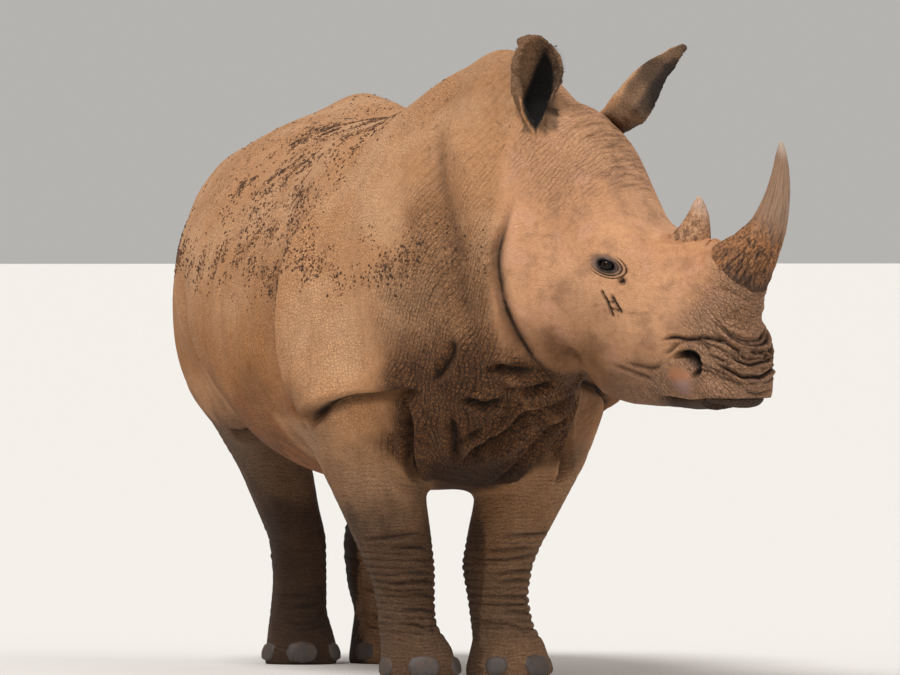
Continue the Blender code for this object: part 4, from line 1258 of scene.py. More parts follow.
def eyeball(side, name):
    """The eyeball of one side, looking along that eye's outward axis."""
    axes = eye_axes(side)
    bm = bmesh.new()
    bmesh.ops.create_uvsphere(bm, u_segments=48, v_segments=32, radius=EYE_RADIUS - BALL_GAP)
    bmesh.ops.rotate(bm, verts=bm.verts, matrix=Vector(axes[2]).to_track_quat("Z", "Y").to_matrix())
    bmesh.ops.translate(bm, verts=bm.verts, vec=EYES[side])
    sight = []
    for vertex in bm.verts:
        direction = (vertex.co - EYES[side]).normalized()
        angle = math.acos(max(-1, min(1, direction.dot(Vector(axes[2])))))
        sight.append(angle / math.pi)
        vertex.co += direction * CORNEA * max(0, 1 - (angle / CORNEA_REACH) ** 2)
    made = object_from(bm, name)
    attribute_on(made, "sight", np.array(sight))
    smooth_shaded(made)
    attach(made, "root")
    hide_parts("eye_right" if side < 0 else "eye_left")
    return made


eyeballs = [eyeball(-1, "eyeball_right"), eyeball(1, "eyeball_left")]
print("eyeballs made:", [piece.name for piece in eyeballs])

# %% [markdown]
# ## The horns
#
# A rhinoceros horn is packed hair-like fibre with no bone in it. At the foot the fibres fray and
# hold mud, higher up they are worn smooth. Each horn is a finer copy of its solid, remeshed and
# ironed, with ridges pressed into it that run from the foot to the tip.

# %% Make the horns
HORN_SQUARE = 0.004  # side of a square of the horn before it is cut in four
HORN_SLICES = 24


def horn_piece(name, made_name, ridge):
    """A finer copy of a horn. ridge is about the depth of the furrows between its fibres."""
    made = object_from(merged_copy(name), made_name)
    with_modifier(made, "REMESH", mode="VOXEL", voxel_size=HORN_SQUARE)
    with_modifier(made, "SMOOTH", factor=0.5, iterations=14)
    with_modifier(made, "SUBSURF", levels=1, render_levels=1)
    piece = Hide(made)
    local = in_head(piece.at)
    foot, tip = local[:, 2].min(), local[:, 2].max()
    height = (local[:, 2] - foot) / (tip - foot)
    slices = np.clip((height * HORN_SLICES).astype(int), 0, HORN_SLICES - 1)
    centres = np.array([local[slices == number, 0].mean() for number in range(HORN_SLICES)])
    middle_line = np.interp(height * HORN_SLICES - 0.5, np.arange(HORN_SLICES), centres)
    angle = np.arctan2(local[:, 1], local[:, 0] - middle_line)
    rough = smooth_step(height, 0.75, 0.25)
    lines = np.array([noise.fractal(Vector((math.cos(a) * 7, math.sin(a) * 7, h * 3.0)), 0.6, 2.1, 4)
                      for a, h in zip(angle, height)])
    lumps = wander(piece.at, 45)
    piece.push(-ridge * rough * (np.abs(lines) * 1.6 + 0.5 * lumps) + ridge * 0.4 * rough)
    attribute_on(made, "height", height)
    attribute_on(made, "grain_x", np.cos(angle))
    attribute_on(made, "grain_y", np.sin(angle))
    attribute_on(made, "furrow", np.clip(np.abs(lines) * 2.2, 0, 1) * rough)
    smooth_shaded(made)
    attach(made, "root")
    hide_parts(name)
    return made


horn_pieces = [horn_piece("horn_front", "great_horn", 0.0045),
               horn_piece("horn_rear", "small_horn", 0.003)]
print("horns made:", [len(piece.data.polygons) for piece in horn_pieces])

# %% [markdown]
# ## The nails
#
# Three broad nails stand on the front of each foot. Each is a copy of its solid with the flat faces
# joined and every edge between them rounded by a bevel.

# %% Make the nails
NAIL_BEVEL = 0.004


def nail_piece(name):
    """A rounded copy of one nail."""
    bm = merged_copy(name)
    bmesh.ops.dissolve_limit(bm, angle_limit=math.radians(8), verts=bm.verts, edges=bm.edges)
    bmesh.ops.bevel(bm, geom=bm.edges, offset=NAIL_BEVEL, offset_type="OFFSET", segments=2, profile=0.5,
                    affect="EDGES", material=-1)
    made = object_from(bm, name.replace("nail", "toenail"))
    smooth_shaded(made)
    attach(made, "root")
    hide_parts(name)
    return made


nail_pieces = [nail_piece(name) for name in NAILS]
print("nails made:", len(nail_pieces))

# %% [markdown]
# ## Bristles, lashes and crumbs of mud
#
# A white rhinoceros is nearly naked: it has bristles on the end of its tail, a fringe on its ears
# and lashes on its lids. Dry mud stays on its back and sides in small hard crumbs. Hair could be
# grown as particles, but only plain mesh leaves Blender with the model, so one small shape is copied
# many times into one mesh, and numpy bends each copy into place. Every copy also gets a small patch
# on a map called OFBake, laid out as if the hide were cut along the belly and spread flat.

# %% Copy a small shape many times
PATCH = 0.003  # side of one copy's patch on the map
SPREAD_HEIGHT = 0.9  # the height of the line round which the hide is spread flat


def template_mesh(bm):
    """The mesh of a small shape to be copied."""
    mesh = bpy.data.meshes.new("template")
    bm.to_mesh(mesh)
    bm.free()
    return mesh


def many(name, template, bent, roots):
    """One piece of many copies. bent gives each copy's points, roots its place on the hide."""
    bm = bmesh.new()
    for _ in roots:
        bm.from_mesh(template)
    piece = object_from(bm, name)
    piece.data.vertices.foreach_set("co", np.asarray(bent).ravel())
    low, high = np.array(cad_box)
    spread_u = 0.03 + 0.94 * (roots[:, 0] - low[0]) / (high[0] - low[0])
    spread_v = 0.5 + 0.47 * np.arctan2(roots[:, 1], roots[:, 2] - SPREAD_HEIGHT) / math.pi
    corners = read_all(template.loops, "vertex_index", 1, np.int32).ravel()
    shape = read_all(template.vertices, "co", 3)
    span = np.ptp(shape, axis=0)
    local = ((shape - shape.min(0)) / span)[corners][:, (0, 2)] - 0.5
    spots = np.stack([spread_u, spread_v], axis=1)[:, None, :] + local[None] * PATCH
    layer = piece.data.uv_layers.new(name="OFBake")
    layer.data.foreach_set("uv", spots.ravel())
    piece.data.update()
    smooth_shaded(piece)
    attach(piece, "root")
    return piece


def strand_template(rings=5):
    """A hair along Z, one long and one thick, made from a four-sided cone cut across."""
    bm = bmesh.new()
    bmesh.ops.create_cone(bm, segments=4, radius1=1.0, radius2=0.18, depth=1.0, cap_ends=True,
                          matrix=Matrix.Translation((0, 0, 0.5)))
    long_edges = [edge for edge in bm.edges if abs(edge.verts[0].co.z - edge.verts[1].co.z) > 0.5]
    bmesh.ops.subdivide_edges(bm, edges=long_edges, cuts=rings)
    return template_mesh(bm)


def bent_strands(template, roots, ways, lengths, thick, droop):
    """Each strand starts at its root along its way, and bends down by droop times its length."""
    shape = read_all(template.vertices, "co", 3)
    ways = ways / np.linalg.norm(ways, axis=1)[:, None]
    first = np.cross(ways, (0.31, 0.87, 0.39))
    first /= np.linalg.norm(first, axis=1)[:, None]
    second = np.cross(ways, first)
    share = shape[:, 2][None, :, None]
    points = roots[:, None, :] + ways[:, None, :] * share * lengths[:, None, None]
    points = points - np.array((0, 0, 1.0)) * (share ** 2 * (droop * lengths)[:, None, None])
    points = points + first[:, None, :] * (shape[:, 0][None, :, None] * thick)
    return points + second[:, None, :] * (shape[:, 1][None, :, None] * thick)


strand = strand_template()
print("a strand has", len(strand.polygons), "faces")

# %% Bristle the end of the tail
BRISTLES = 420
BRISTLE_THICK = 0.0011
low, high = np.array(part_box("tail_tuft"))
draw = np.random.default_rng(21)
level = draw.uniform(0, 1, BRISTLES) ** 0.8
turn = draw.uniform(0, 2 * math.pi, BRISTLES)
outward = np.stack([np.cos(turn), np.sin(turn), np.zeros(BRISTLES)], axis=1)
reach = (high - low) / 2
middle_tail = (low + high) / 2
roots = middle_tail + outward * (reach * (0.12 + 0.33 * level)[:, None])
roots[:, 2] = high[2] + 0.016 - level * 0.72 * (high[2] - low[2])
lengths = np.minimum(draw.uniform(0.05, 0.12, BRISTLES), (roots[:, 2] - low[2]) * 0.98)
ways = outward * draw.uniform(0.05, 0.45, BRISTLES)[:, None] + np.array((0, 0, -1.0))
bent = bent_strands(strand, roots, ways, lengths, BRISTLE_THICK, 0.1)
bristles = many("tail_bristles", strand, bent, roots)
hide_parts("tail_tuft")
print("tail bristles:", BRISTLES)

# %% Fringe the ears and the eyelids
HAIR_THICK = 0.00035
LASHES = 26  # for each eye
rim_roots = []
rim_ways = []
for side, ear in ears.items():
    for edge in (-1, 1):
        for place in ear.rim(edge, steps=110)[36:]:
            place = place + draw.uniform(-0.002, 0.002, 3)
            rim_roots.append(ear.middle + shaped(side, place) @ ear.axes)
            rim_ways.append((np.array((0.5, edge, 0.0)) + draw.uniform(-0.3, 0.3, 3)) @ ear.axes)
rim_roots = np.array(rim_roots)
lengths = draw.uniform(0.006, 0.011, len(rim_roots))
bent = bent_strands(strand, rim_roots, np.array(rim_ways), lengths, HAIR_THICK, 0.2)
fringe = many("ear_fringe", strand, bent, rim_roots)
lash_roots = []
lash_ways = []
for side, centre in EYES.items():
    axes = eye_axes(side)
    for angle in np.linspace(0.25, math.pi - 0.25, LASHES):
        u = LID_LENGTH * 1.10 * math.cos(angle)
        v = LID_HEIGHT * 1.12 * math.sin(angle)
        w = math.sqrt(max(0, (EYE_RADIUS + LID_THICK) ** 2 - u * u - v * v)) - 0.001
        lash_roots.append(np.array(centre) + np.array((u, v, w)) @ axes)
        way = np.array((0.5 * math.cos(angle), 0.35, 1.0)) + draw.uniform(-0.15, 0.15, 3)
        lash_ways.append(way @ axes)
lash_roots = np.array(lash_roots)
lengths = draw.uniform(0.009, 0.014, len(lash_roots))
bent = bent_strands(strand, lash_roots, np.array(lash_ways), lengths, HAIR_THICK, 0.5)
lashes = many("eyelashes", strand, bent, lash_roots)
print("ear fringe:", len(rim_roots), "hairs, lashes:", len(lash_roots))

# %% Scatter crumbs of dry mud
CRUMB_SPOTS = (  # x and z of the places where the crumbs lie thickest
    (-1.10, 1.22), (-0.80, 1.20), (-0.48, 1.17), (-0.28, 1.15), (-0.09, 1.20), (0.05, 1.15), (0.13, 1.22),
    (-0.03, 1.27), (0.26, 1.12), (0.36, 1.20), (0.46, 1.15), (0.31, 1.25), (0.30, 1.37), (-0.14, 1.40),
    (-0.26, 1.36), (0.08, 1.45), (-0.27, 1.55), (0.35, 1.51), (-0.21, 1.58), (0.60, 1.15), (0.81, 1.16),
    (0.84, 1.21))
SPOT_LENGTH = 0.13
SPOT_HEIGHT = 0.046
CRUMBS = 9000
bm = bmesh.new()
bmesh.ops.create_icosphere(bm, subdivisions=1, radius=1.0)
crumb = template_mesh(bm)
x, y, z = hide.at.T
nearness = np.zeros(len(hide.at))
for spot_x, spot_z in CRUMB_SPOTS:
    spot = np.exp(-((x - spot_x) / SPOT_LENGTH) ** 2 - ((z - spot_z) / SPOT_HEIGHT) ** 2)
    nearness = np.maximum(nearness, spot)
clusters = smooth_step(wander(hide.at, 13), -0.20, 0.14)
clusters = nearness * clusters * (0.45 + 0.55 * (y < 0)) + 0.008 * smooth_step(z, 1.0, 1.3) * trunk_mask
clusters = clusters * (1 - face_mask) * (1 - ear_mask) * (z > 0.9)
size_of_place = np.zeros(len(hide.at))
a, b = hide.ends.T
edge_length = np.linalg.norm(hide.at[a] - hide.at[b], axis=1)
np.add.at(size_of_place, a, edge_length)
np.add.at(size_of_place, b, edge_length)
weight = clusters * (size_of_place / hide.degree) ** 2
chosen = draw.choice(len(hide.at), CRUMBS, p=weight / weight.sum())
jitter = draw.normal(0, 0.012, (CRUMBS, 3))
final_skin = BVHTree.FromObject(skin, bpy.context.evaluated_depsgraph_get())
snapped = [final_skin.find_nearest(Vector(point)) for point in hide.at[chosen] + jitter]
roots = np.array([hit[0][:] for hit in snapped])
normals = np.array([hit[1][:] for hit in snapped])
sizes = 0.0016 + 0.0034 * draw.uniform(0, 1, CRUMBS) ** 2.0
shape = read_all(crumb.vertices, "co", 3)
lumps = shape[None] * draw.uniform(0.65, 1.3, (CRUMBS, len(shape), 1)) * sizes[:, None, None]
flat = (lumps * normals[:, None, :]).sum(2)
points = roots[:, None, :] + lumps - normals[:, None, :] * (flat * 0.45)[:, :, None]
points = points + normals[:, None, :] * (sizes * 0.15)[:, None, None]
mud_crumbs = many("mud_crumbs", crumb, points, roots)
print("crumbs of mud:", CRUMBS, "with", len(mud_crumbs.data.polygons), "faces")

# %% [markdown]
# ## Writing shader sums as plain sums
#
# A material is a graph of nodes, and its maths reads badly as a list of links. This small class
# wraps an output socket, so that an expression such as `1 - mask * 0.5` adds the Math nodes itself.


# %% A socket that takes part in sums
def give(slot, value):
    """Links a wrapped socket to slot, or sets the slot to a plain value."""
    if isinstance(value, Value):
        slot.id_data.links.new(value.socket, slot)
    elif isinstance(value, tuple) and len(value) == 3 and slot.type == "RGBA":
        slot.default_value = (*value, 1)
    else:
        slot.default_value = value


class Value:
    """An output socket that can stand in a sum."""

    def __init__(self, socket):
        self.socket = socket

    def maths(self, operation, *values, clamp=False):
        """The result of a new Math node."""
        made = self.socket.id_data.nodes.new("ShaderNodeMath")
        made.operation = operation
        made.use_clamp = clamp
        for slot, value in zip(made.inputs, values):
            give(slot, value)
        return Value(made.outputs[0])

    def __add__(self, other):
        return self.maths("ADD", self, other)

    def __sub__(self, other):
        return self.maths("SUBTRACT", self, other)

    def __rsub__(self, other):
        return self.maths("SUBTRACT", other, self)

    def __mul__(self, other):
        return self.maths("MULTIPLY", self, other)

    def __truediv__(self, other):
        return self.maths("DIVIDE", self, other)

    __radd__ = __add__
    __rmul__ = __mul__

    def most(self, other):
        """The greater of two values."""
        return self.maths("MAXIMUM", self, other)

    def held(self):
        """Held between 0 and 1."""
        return self.maths("ADD", self, 0.0, clamp=True)

    def ripple(self):
        """0 at whole numbers, 1 half way between them."""
        return self.maths("PINGPONG", self, 0.5) * 2

    def vector_maths(self, operation, **sockets):
        """The result of a new Vector Math node that starts from this value."""
        made = self.socket.id_data.nodes.new("ShaderNodeVectorMath")
        made.operation = operation
        give(made.inputs[0], self)
        for name, value in sockets.items():
            give(made.inputs[1 if name == "other" else name], value)
        return Value(next(slot for slot in made.outputs if slot.enabled))


# %% A material with its own nodes
def colour(red, green, blue):
    """A colour as seen on a screen, 0 to 255, turned into the share of light it reflects."""
    parts = (red, green, blue)
    return tuple(((part / 255 + 0.055) / 1.055) ** 2.4 if part > 10 else part / 3295 for part in parts)


class Finish:
    """A material: every node comes from node(), and sums of sockets add Math nodes."""

    def __init__(self, name):
        self.material = bpy.data.materials.new(name)
        self.material.use_nodes = True
        self.tree = self.material.node_tree
        self.shader = self.tree.nodes["Principled BSDF"]
        self.place = self.node("TexCoord", out="Object")

    def node(self, kind, settings=None, sockets=None, out=None):
        """A new node with its settings and inputs given by name. Returns one of its outputs."""
        made = self.tree.nodes.new("ShaderNode" + kind)
        for name, value in (settings or {}).items():
            setattr(made, name, value)
        for name, value in (sockets or {}).items():
            give(next(slot for slot in made.inputs if slot.name == name and slot.enabled), value)
        return Value(next(slot for slot in made.outputs if slot.enabled and out in (None, slot.name)))

    def painted(self, name):
        """A mask painted on the mesh."""
        return self.node("Attribute", {"attribute_name": name}, out="Fac")

    def axis(self, name):
        """X, Y or Z of the place."""
        return self.node("SeparateXYZ", sockets={"Vector": self.place}, out=name)

    def stretched(self, scale):
        """The place with each axis scaled by its own amount."""
        return self.node("Mapping", {"vector_type": "POINT"}, {"Vector": self.place, "Scale": scale})

    def noise(self, scale, detail, rough, place=None):
        """Soft lumps, about scale of them to a metre."""
        sockets = {"Vector": place or self.place, "Scale": scale, "Detail": detail, "Roughness": rough}
        return self.node("TexNoise", {"noise_dimensions": "3D"}, sockets, "Fac")

    def cracks(self, scale, place=None, random=1.0):
        """The distance to the edge between cells, 0 on the edges."""
        return self.node("TexVoronoi", {"feature": "DISTANCE_TO_EDGE"},
                         {"Vector": place or self.place, "Scale": scale, "Randomness": random}, "Distance")

    def span(self, value, low, high):
        """0 below low, 1 above high, smooth between."""
        return self.node("MapRange", {"interpolation_type": "SMOOTHSTEP"},
                         {"Value": value, "From Min": low, "From Max": high}, "Result")

    def mix(self, share, a, b):
        """Colour a where the share is 0, colour b where it is 1."""
        return self.node("Mix", {"data_type": "RGBA"}, {"Factor": share, "A": a, "B": b}, "Result")

    def shifted(self, amount):
        """The place pushed about by a noise, so that a pattern's lines wander."""
        drift = self.node("TexNoise", {"noise_dimensions": "3D"},
                          {"Vector": self.place, "Scale": 6.0, "Detail": 3.0}, "Color")
        return self.place.vector_maths("ADD", other=drift.vector_maths("SCALE", Scale=amount))

    def bump(self, height, distance):
        """A surface that seems to rise by distance where the height is 1."""
        return self.node("Bump", sockets={"Height": height, "Distance": distance}, out="Normal")

    def set(self, **sockets):
        """Gives the shader's inputs by name, with _ for a space."""
        for name, value in sockets.items():
            give(self.shader.inputs[name.replace("_", " ")], value)

    def dress(self, *pieces):
        """Gives the material to some pieces."""
        for piece in pieces:
            piece.data.materials.append(self.material)


print("shader helpers ready")

# %% [markdown]
# ## The finish of the hide
#
# The colour is built in layers, as the mud lies on the animal: tan dry mud, darker damp hide and
# painted shade, rusty earth low on the belly, streaks where it ran, and dirt and painted shade in
# every fold. The surface is a net of small cracks, their gaps painted dark as shade. Their cells are
# round on the back, stand upright on the neck and lie flat round the legs and the muzzle, so the
# same pattern of cells is used with its space squeezed three ways.

# %% The colours of the hide
TAN = colour(206, 150, 104)
PALE = colour(222, 170, 126)
BROWN = colour(106, 66, 34)
BELLY = colour(104, 60, 26)
DUST_AND_LIGHT = colour(134, 102, 76)
LEG_BROWN = colour(96, 68, 45)
RUST = colour(164, 98, 46)
OCHRE = colour(196, 130, 72)
SHADE = colour(38, 24, 15)
LID_GREY = colour(104, 92, 88)
LID_DARK = colour(26, 21, 21)
NOSTRIL_DARK = colour(12, 8, 7)
MUD_EAR = colour(64, 47, 36)
MUD_GRAIN = colour(136, 106, 80)
MUZZLE_GREY = colour(152, 122, 102)
HEAD_GREY = colour(162, 120, 92)
HEAD_PINK = colour(222, 166, 134)
HEAD_TAN = colour(214, 158, 118)
CUP_DARK = colour(14, 10, 9)
CRUMB = colour(70, 48, 32)
LILAC = colour(152, 124, 122)
ORANGE = colour(168, 104, 70)

TURN_SPACING = 0.030
FLAP_TURN = Vector(head_point(*FLAP)).dot(ALONG - CROWN * 1.2) / TURN_SPACING  # where orange turns to lilac
f = Finish("hide")
on_legs, on_ears = f.painted("leg"), f.painted("ear")
on_head, on_muzzle, on_net = f.painted("head"), f.painted("muzzle"), f.painted("net")
in_folds, is_dark, on_belly = f.painted("folds"), f.painted("dark"), f.painted("belly")

blotch = f.noise(3.2, 5, 0.6)
patches = f.noise(9.0, 4, 0.6)
mottle = f.noise(55, 4, 0.65)
grit = f.noise(260, 3, 0.7)
streaks = f.noise(1.0, 4, 0.6, place=f.stretched((16, 16, 1.6)))

# %% The lines of the wrinkles
wander_place = f.shifted(0.030)
far_side = f.axis("Y").maths("ABSOLUTE", f.axis("Y"))
breaks = f.noise(24, 3, 0.6)


def wrinkle_lines(phase, sharp=0.5, wobble=2.4, scale=7.0):
    """Dark lines, one for each whole number of the phase, that wander, join and break off."""
    turn = phase + f.noise(scale, 4, 0.6) * wobble
    return (1 - f.span(turn.ripple(), 0.0, sharp)) * (0.55 + 0.7 * f.span(breaks, 0.34, 0.66))


def crossed(lines, across):
    """Wrinkles with finer cracks across them."""
    return lines.most(across * 0.45)


def towards(axis, spacing):
    """How many spacings a place lies along an axis."""
    return f.place.vector_maths("DOT_PRODUCT", other=tuple(part / spacing for part in axis))


def cobbled(first, second, third, wobble=1.6, scale=8.0):
    """The gaps between cells laid in rows. Each of the three is a phase, one whole number to a cell."""
    drift = f.noise(scale, 3, 0.6) * wobble
    rows = {"X": first + drift, "Y": second - drift * 0.7, "Z": third + drift * 0.5}
    place = f.node("CombineXYZ", sockets=rows)
    return 1 - f.span(f.cracks(1.0, place=place, random=0.85), 0.02, 0.20)


slant = f.axis("X") * 0.8 - far_side * 0.4 - f.axis("Z") * 0.45
rise = f.axis("X") * 0.45 + f.axis("Z") * 0.8
around = f.axis("X") * 0.4 + far_side * 0.9
neck_lines = crossed(wrinkle_lines(slant / 0.0115, 0.45, 3.4, 9.0),
                     wrinkle_lines(rise / 0.017, 0.4, 3.0, 11.0))
neck_lines = neck_lines * 0.62 + cobbled(slant / 0.0074, rise / 0.0115, around / 0.0115) * 0.60
leg_lines = wrinkle_lines(f.axis("Z") / 0.0115, 0.45, 5.5, 9.0) * 0.50
leg_lines = leg_lines + cobbled(f.axis("Z") / 0.0060, f.axis("X") / 0.0115, f.axis("Y") / 0.0115) * 0.50
muzzle_lines = wrinkle_lines(towards(CROWN + ALONG * 0.25, 0.0120), 0.5, 5.0, 14.0) * 0.50
muzzle_cells = cobbled(towards(CROWN + ALONG * 0.25, 0.0080), towards(ALONG - CROWN * 0.3, 0.0140),
                       towards(LEFTWARD, 0.0140), 2.2, 10.0)
muzzle_lines = muzzle_lines + muzzle_cells * 0.65
brow_lines = wrinkle_lines(towards(ALONG, 0.0125), 0.45, 5.0, 8.0) * 0.60
brow_cells = cobbled(towards(ALONG, 0.0090), towards(LEFTWARD, 0.0160), towards(CROWN, 0.0160))
brow_lines = brow_lines + brow_cells * 0.45
flank_lines = wrinkle_lines(f.axis("X") / 0.019, 0.4, 1.8, 5.0)
round_lines = 1 - f.span(f.cracks(100, place=wander_place), 0.0, 0.16)
fine_lines = 1 - f.span(f.cracks(230, place=wander_place), 0.0, 0.25)
on_brow, in_cup = f.painted("brow"), f.painted("cup")
plain = (1 - on_net.most(on_legs).most(on_muzzle).most(on_brow)).held()
soft_flap = 1 - f.painted("pink")
net = neck_lines * on_net * (0.58 + 0.26 * is_dark) + leg_lines * on_legs * (1 - on_net) * 0.56
net = net.most(muzzle_lines * on_muzzle * soft_flap * 0.66).most(brow_lines * on_brow * 0.46)
net = net.most(round_lines * plain * (1 - on_head * 0.7) * 0.34)
net = net.most(flank_lines * plain * (1 - on_head) * 0.14)
net = net + fine_lines * (0.14 + 0.12 * (1 - plain))
print("the hide's wrinkles have", len(f.tree.nodes), "nodes so far")

# %% Lay the colours over each other
mud = f.mix(f.span(blotch + 0.3 * (patches - 0.5), 0.38, 0.64), TAN, PALE)
mud = f.mix(f.painted("ochre") * 0.75, mud, OCHRE)
mud = f.mix(on_head * 0.6, mud, HEAD_TAN)
grey_patches = f.noise(10.0, 5, 0.66, place=f.stretched((1, 1, 1.3)))
pink_patches = f.noise(12.0, 3, 0.6, place=f.shifted(0.2))
mud = f.mix(on_head * f.span(grey_patches, 0.46, 0.66) * 0.62, mud, HEAD_GREY)
mud = f.mix(on_head * f.span(pink_patches, 0.52, 0.66) * 0.50, mud, HEAD_PINK)
# The dark mask turns the hide towards darker colours: damp mud where the mud is wet, and painted shade under
# the head, behind the shoulder, in the valley of the neck and under the belly.
damp_and_shade = (is_dark * (0.75 + 0.5 * patches) + (0.5 * (blotch - 0.5) + 0.4 * (patches - 0.5)) * is_dark
        + 0.55 * (blotch - 0.56).held()).held()
damp_and_shade_colour = f.mix(on_belly, f.mix(on_legs, BROWN, LEG_BROWN), BELLY)
damp_and_shade_colour = f.mix(on_muzzle * 0.8, damp_and_shade_colour, MUZZLE_GREY)
granules = f.span(f.noise(150, 4, 0.75), 0.50, 0.62) * (0.15 + 0.5 * f.painted("granular"))
ear_mud = f.mix(granules, MUD_EAR, MUD_GRAIN)
on_flap = f.painted("pink")
across_flap = towards(ALONG - CROWN * 1.2, TURN_SPACING) - FLAP_TURN
lilac_side = f.span(across_flap + (mottle - 0.5) * 0.8, -0.5, 0.6)
flap_colour = f.mix(lilac_side * 0.8, ORANGE, LILAC)
specks = f.span(f.noise(75, 3, 0.6), 0.56, 0.64) * f.span(f.noise(2.6, 3, 0.6), 0.50, 0.60)
specks = specks * (1 - on_head)
bare = 1 - in_cup.most(f.painted("on_ear")).most(on_flap * 0.5)
pale_grains = ((0.5 - mottle) * 0.6 + (0.5 - grit) * 0.5).held() * (1 - is_dark * 0.6)
layers = (  # how much of each colour lies over those before it
    # dust low on the legs, and on the left legs also painted light
    (f.painted("dust") * (0.35 + 0.6 * patches).held(), DUST_AND_LIGHT),
    ((streaks - 0.5).held() * 0.9 * (1 - on_head), BROWN),
    (on_belly * f.span(patches, 0.38, 0.60) * 0.85, RUST),
    (f.painted("rust") * f.span(patches, 0.35, 0.6) * (1 - on_muzzle) * 0.45, RUST),
    ((on_ears * 0.95).held(), ear_mud),
    (f.painted("eye_ring") * 0.75, LID_GREY),
    (on_flap * 0.7, flap_colour),
    (specks * plain * f.span(f.axis("Z"), 1.0, 1.2) * 0.75, CRUMB),
    # the middles of the cells on the neck and the chest are painted lighter ochre: mud colour and a painted
    # highlight on their raised tops
    (((1 - net * 2.2).held() * on_net * is_dark * 0.20).held(), OCHRE),
    # the gaps of the net of wrinkles are painted near black as shade
    ((net * (0.72 + 0.22 * is_dark) * bare).held(), SHADE),
    # the bottoms of the folds are painted dark, dirt and painted shade together
    ((in_folds * 1.05).held(), SHADE),
    (((mottle - 0.5) * 1.0 + (grit - 0.5) * 0.6).held() * bare, BROWN),
    (pale_grains * bare, PALE),
    # the cups of the ears are painted near black, as painted shade in the hollow and their dark hair; a
    # stripe by the left ear's rim gets the same colour
    ((in_cup * 1.1).held(), CUP_DARK),
    (f.painted("eye_dark"), LID_DARK),
    (f.painted("shade"), SHADE),
    # the insides of the nostrils are painted near black as shade
    (f.painted("nostril"), NOSTRIL_DARK))
skin_colour = f.mix(damp_and_shade, mud, damp_and_shade_colour)
for share, layer in layers:
    skin_colour = f.mix(share, skin_colour, layer)

relief = mottle * 0.25 + grit * 0.10 + patches * 0.3 - net * 1.1
roughness = 0.72 + 0.2 * mottle - 0.45 * f.painted("eye_dark")
f.set(Base_Color=skin_colour, Roughness=roughness, Specular_IOR_Level=0.3, Normal=f.bump(relief, 0.006))
skin.data.materials.clear()
f.dress(skin)
print("the hide's finish has", len(f.tree.nodes), "nodes")

# %% [markdown]
# ## The finish of the eyes, the horns and the nails

# %% The wet eye
f = Finish("wet_eye")
sight = f.painted("sight")
iris = f.mix(f.span(sight, 0.085, 0.10), colour(4, 4, 4), colour(34, 22, 15))
eye_colour = f.mix(f.span(sight, 0.17, 0.20), iris, colour(16, 12, 12))
f.set(Base_Color=eye_colour, Roughness=0.10, Specular_IOR_Level=0.12, Coat_Weight=0.08, Coat_Roughness=0.03)
f.dress(*eyeballs)

# %% The horn
f = Finish("horn_fibre")
height = f.painted("height")
turns = {"X": f.painted("grain_x"), "Y": f.painted("grain_y"), "Z": height * 0.35}
round_place = f.node("CombineXYZ", sockets=turns)
fibres = f.noise(16, 4, 0.65, place=round_place)
coarse = f.noise(5, 3, 0.6, place=round_place)
frayed = f.noise(1.0, 4, 0.7, place=f.stretched((70, 70, 30)))
specks = f.noise(120, 4, 0.7)
worn = f.span(height + 0.25 * (coarse - 0.5), 0.42, 0.66)
base_colour = f.mix(f.span(specks, 0.42, 0.60), colour(178, 120, 72), colour(118, 76, 46))
base_colour = f.mix(f.span(frayed, 0.50, 0.62) * 0.85, base_colour, colour(52, 32, 20))
base_colour = f.mix(f.painted("furrow") * 0.55, base_colour, colour(40, 26, 17))
front_foot = f.span(height, 0.36, 0.10) * f.span(f.painted("grain_x") + 0.8 * (coarse - 0.5), -0.2, 0.5)
base_colour = f.mix(front_foot * 0.85, base_colour, colour(44, 30, 20))
base_colour = f.mix(f.span(height, 0.10, 0.0) * 0.6, base_colour, colour(70, 44, 28))
top_colour = f.mix(f.span(fibres, 0.35, 0.7), colour(160, 126, 100), colour(108, 80, 60))
top_colour = f.mix(f.span(height, 0.90, 1.0) * 0.6, top_colour, colour(205, 186, 170))
horn_colour = f.mix(worn, base_colour, top_colour)
f.set(Base_Color=horn_colour, Roughness=0.75 - 0.3 * worn,
      Normal=f.bump(fibres * 0.5 + (specks + frayed) * (1 - worn) * 0.7, 0.004))
f.dress(horn_pieces[0])

# %% The dusty rear horn
f = Finish("dusty_horn")
height = f.painted("height")
dust = f.noise(14, 4, 0.65)
specks = f.noise(110, 4, 0.7)
streak = f.span(f.noise(1.0, 3, 0.6, place=f.stretched((34, 34, 12))), 0.50, 0.60)
dusty = f.mix(f.span(specks, 0.40, 0.62), colour(190, 144, 106), colour(140, 100, 70))
dusty = f.mix(streak * f.span(height, 0.85, 0.6) * 0.75, dusty, colour(92, 60, 38))
dusty = f.mix(f.span(height, 0.70, 0.97) * 0.5, dusty, colour(196, 170, 154))
f.set(Base_Color=dusty, Roughness=0.8, Normal=f.bump(specks + dust + streak * 0.5, 0.004))
f.dress(horn_pieces[1])

# %% The nails
f = Finish("nail_horn")
grain = f.noise(1.0, 3, 0.6, place=f.stretched((220, 220, 25)))
dust = f.noise(40, 4, 0.7)
nail_colour = f.mix(f.span(grain, 0.35, 0.65), colour(68, 60, 56), colour(54, 47, 43))
above_floor = f.span(f.axis("Z"), 0.02, 0.10)
dusty_share = (f.span(dust, 0.40, 0.60) * (0.35 + 0.65 * above_floor)).held()
nail_colour = f.mix(dusty_share, nail_colour, colour(86, 63, 47))
f.set(Base_Color=nail_colour, Roughness=0.6, Normal=f.bump(grain * 0.4 + dust, 0.001))
f.dress(*nail_pieces)

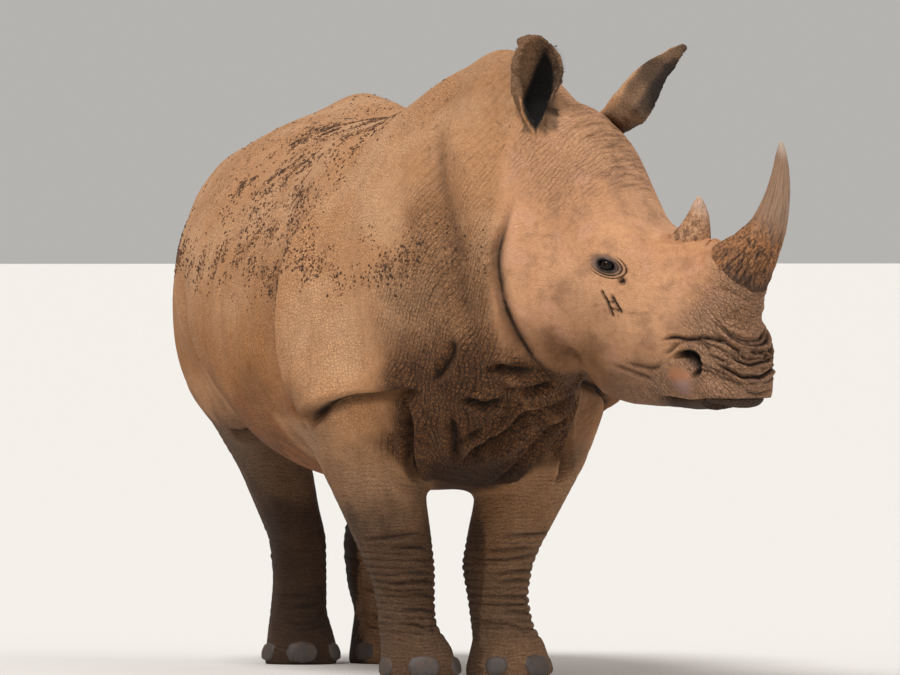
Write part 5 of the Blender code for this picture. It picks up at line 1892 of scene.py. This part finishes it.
# %% The hairs and the crumbs
f = Finish("coarse_hair")
tint = f.noise(30, 3, 0.6)
f.set(Base_Color=f.mix(f.span(tint, 0.4, 0.6), colour(34, 25, 20), colour(74, 52, 38)), Roughness=0.5)
f.dress(bristles, fringe, lashes)
f = Finish("dry_crumbs")
tint = f.noise(45, 3, 0.6)
specks = f.noise(400, 3, 0.7)
crumb_colour = f.mix(f.span(tint, 0.42, 0.60), colour(64, 42, 27), colour(128, 88, 58))
f.set(Base_Color=f.mix(f.span(specks, 0.5, 0.7) * 0.4, crumb_colour, colour(40, 26, 17)), Roughness=0.9)
f.dress(mud_crumbs)
print("finishes made:", len(bpy.data.materials))

# %% [markdown]
# ## The floor and the light
#
# A plain pale floor and a pale sky stand in for a studio. One broad sun from high on the left of the
# camera gives the form, a weaker one from the right opens the shadows. A wide spread makes the edge
# of a shadow soft, as thin cloud does.

# %% Lay the floor and hang the lights
FLOOR_HALF = 600  # m
SKY_COLOUR = (0.84, 0.82, 0.79, 1)
SKY_STRENGTH = 0.55
floor_mesh = bmesh.new()
bmesh.ops.create_grid(floor_mesh, x_segments=1, y_segments=1, size=FLOOR_HALF)
floor = object_from(floor_mesh, "floor")
f = Finish("pale_floor")
f.set(Base_Color=colour(222, 219, 214), Roughness=0.9)
f.dress(floor)


def sun(name, strength, spread, azimuth, height):
    """A sun lamp. Its azimuth and height above level are given in degrees, as the camera's are."""
    lamp = bpy.data.objects.new(name, bpy.data.lights.new(name, "SUN"))
    lamp.data.energy = strength
    lamp.data.angle = math.radians(spread)
    a, h = math.radians(azimuth), math.radians(height)
    source_way = Vector((math.sin(a) * math.cos(h), -math.cos(a) * math.cos(h), math.sin(h)))
    lamp.rotation_euler = source_way.to_track_quat("Z", "Y").to_euler()
    bpy.context.scene.collection.objects.link(lamp)


sun("key", strength=2.6, spread=25, azimuth=45, height=58)
sun("fill", strength=0.7, spread=60, azimuth=130, height=30)
world = bpy.data.worlds.new("sky")
world.use_nodes = True
world.node_tree.nodes["Background"].inputs["Color"].default_value = SKY_COLOUR
world.node_tree.nodes["Background"].inputs["Strength"].default_value = SKY_STRENGTH
bpy.context.scene.world = world
bpy.context.scene.view_settings.view_transform = "Standard"
print("floor and light in place")
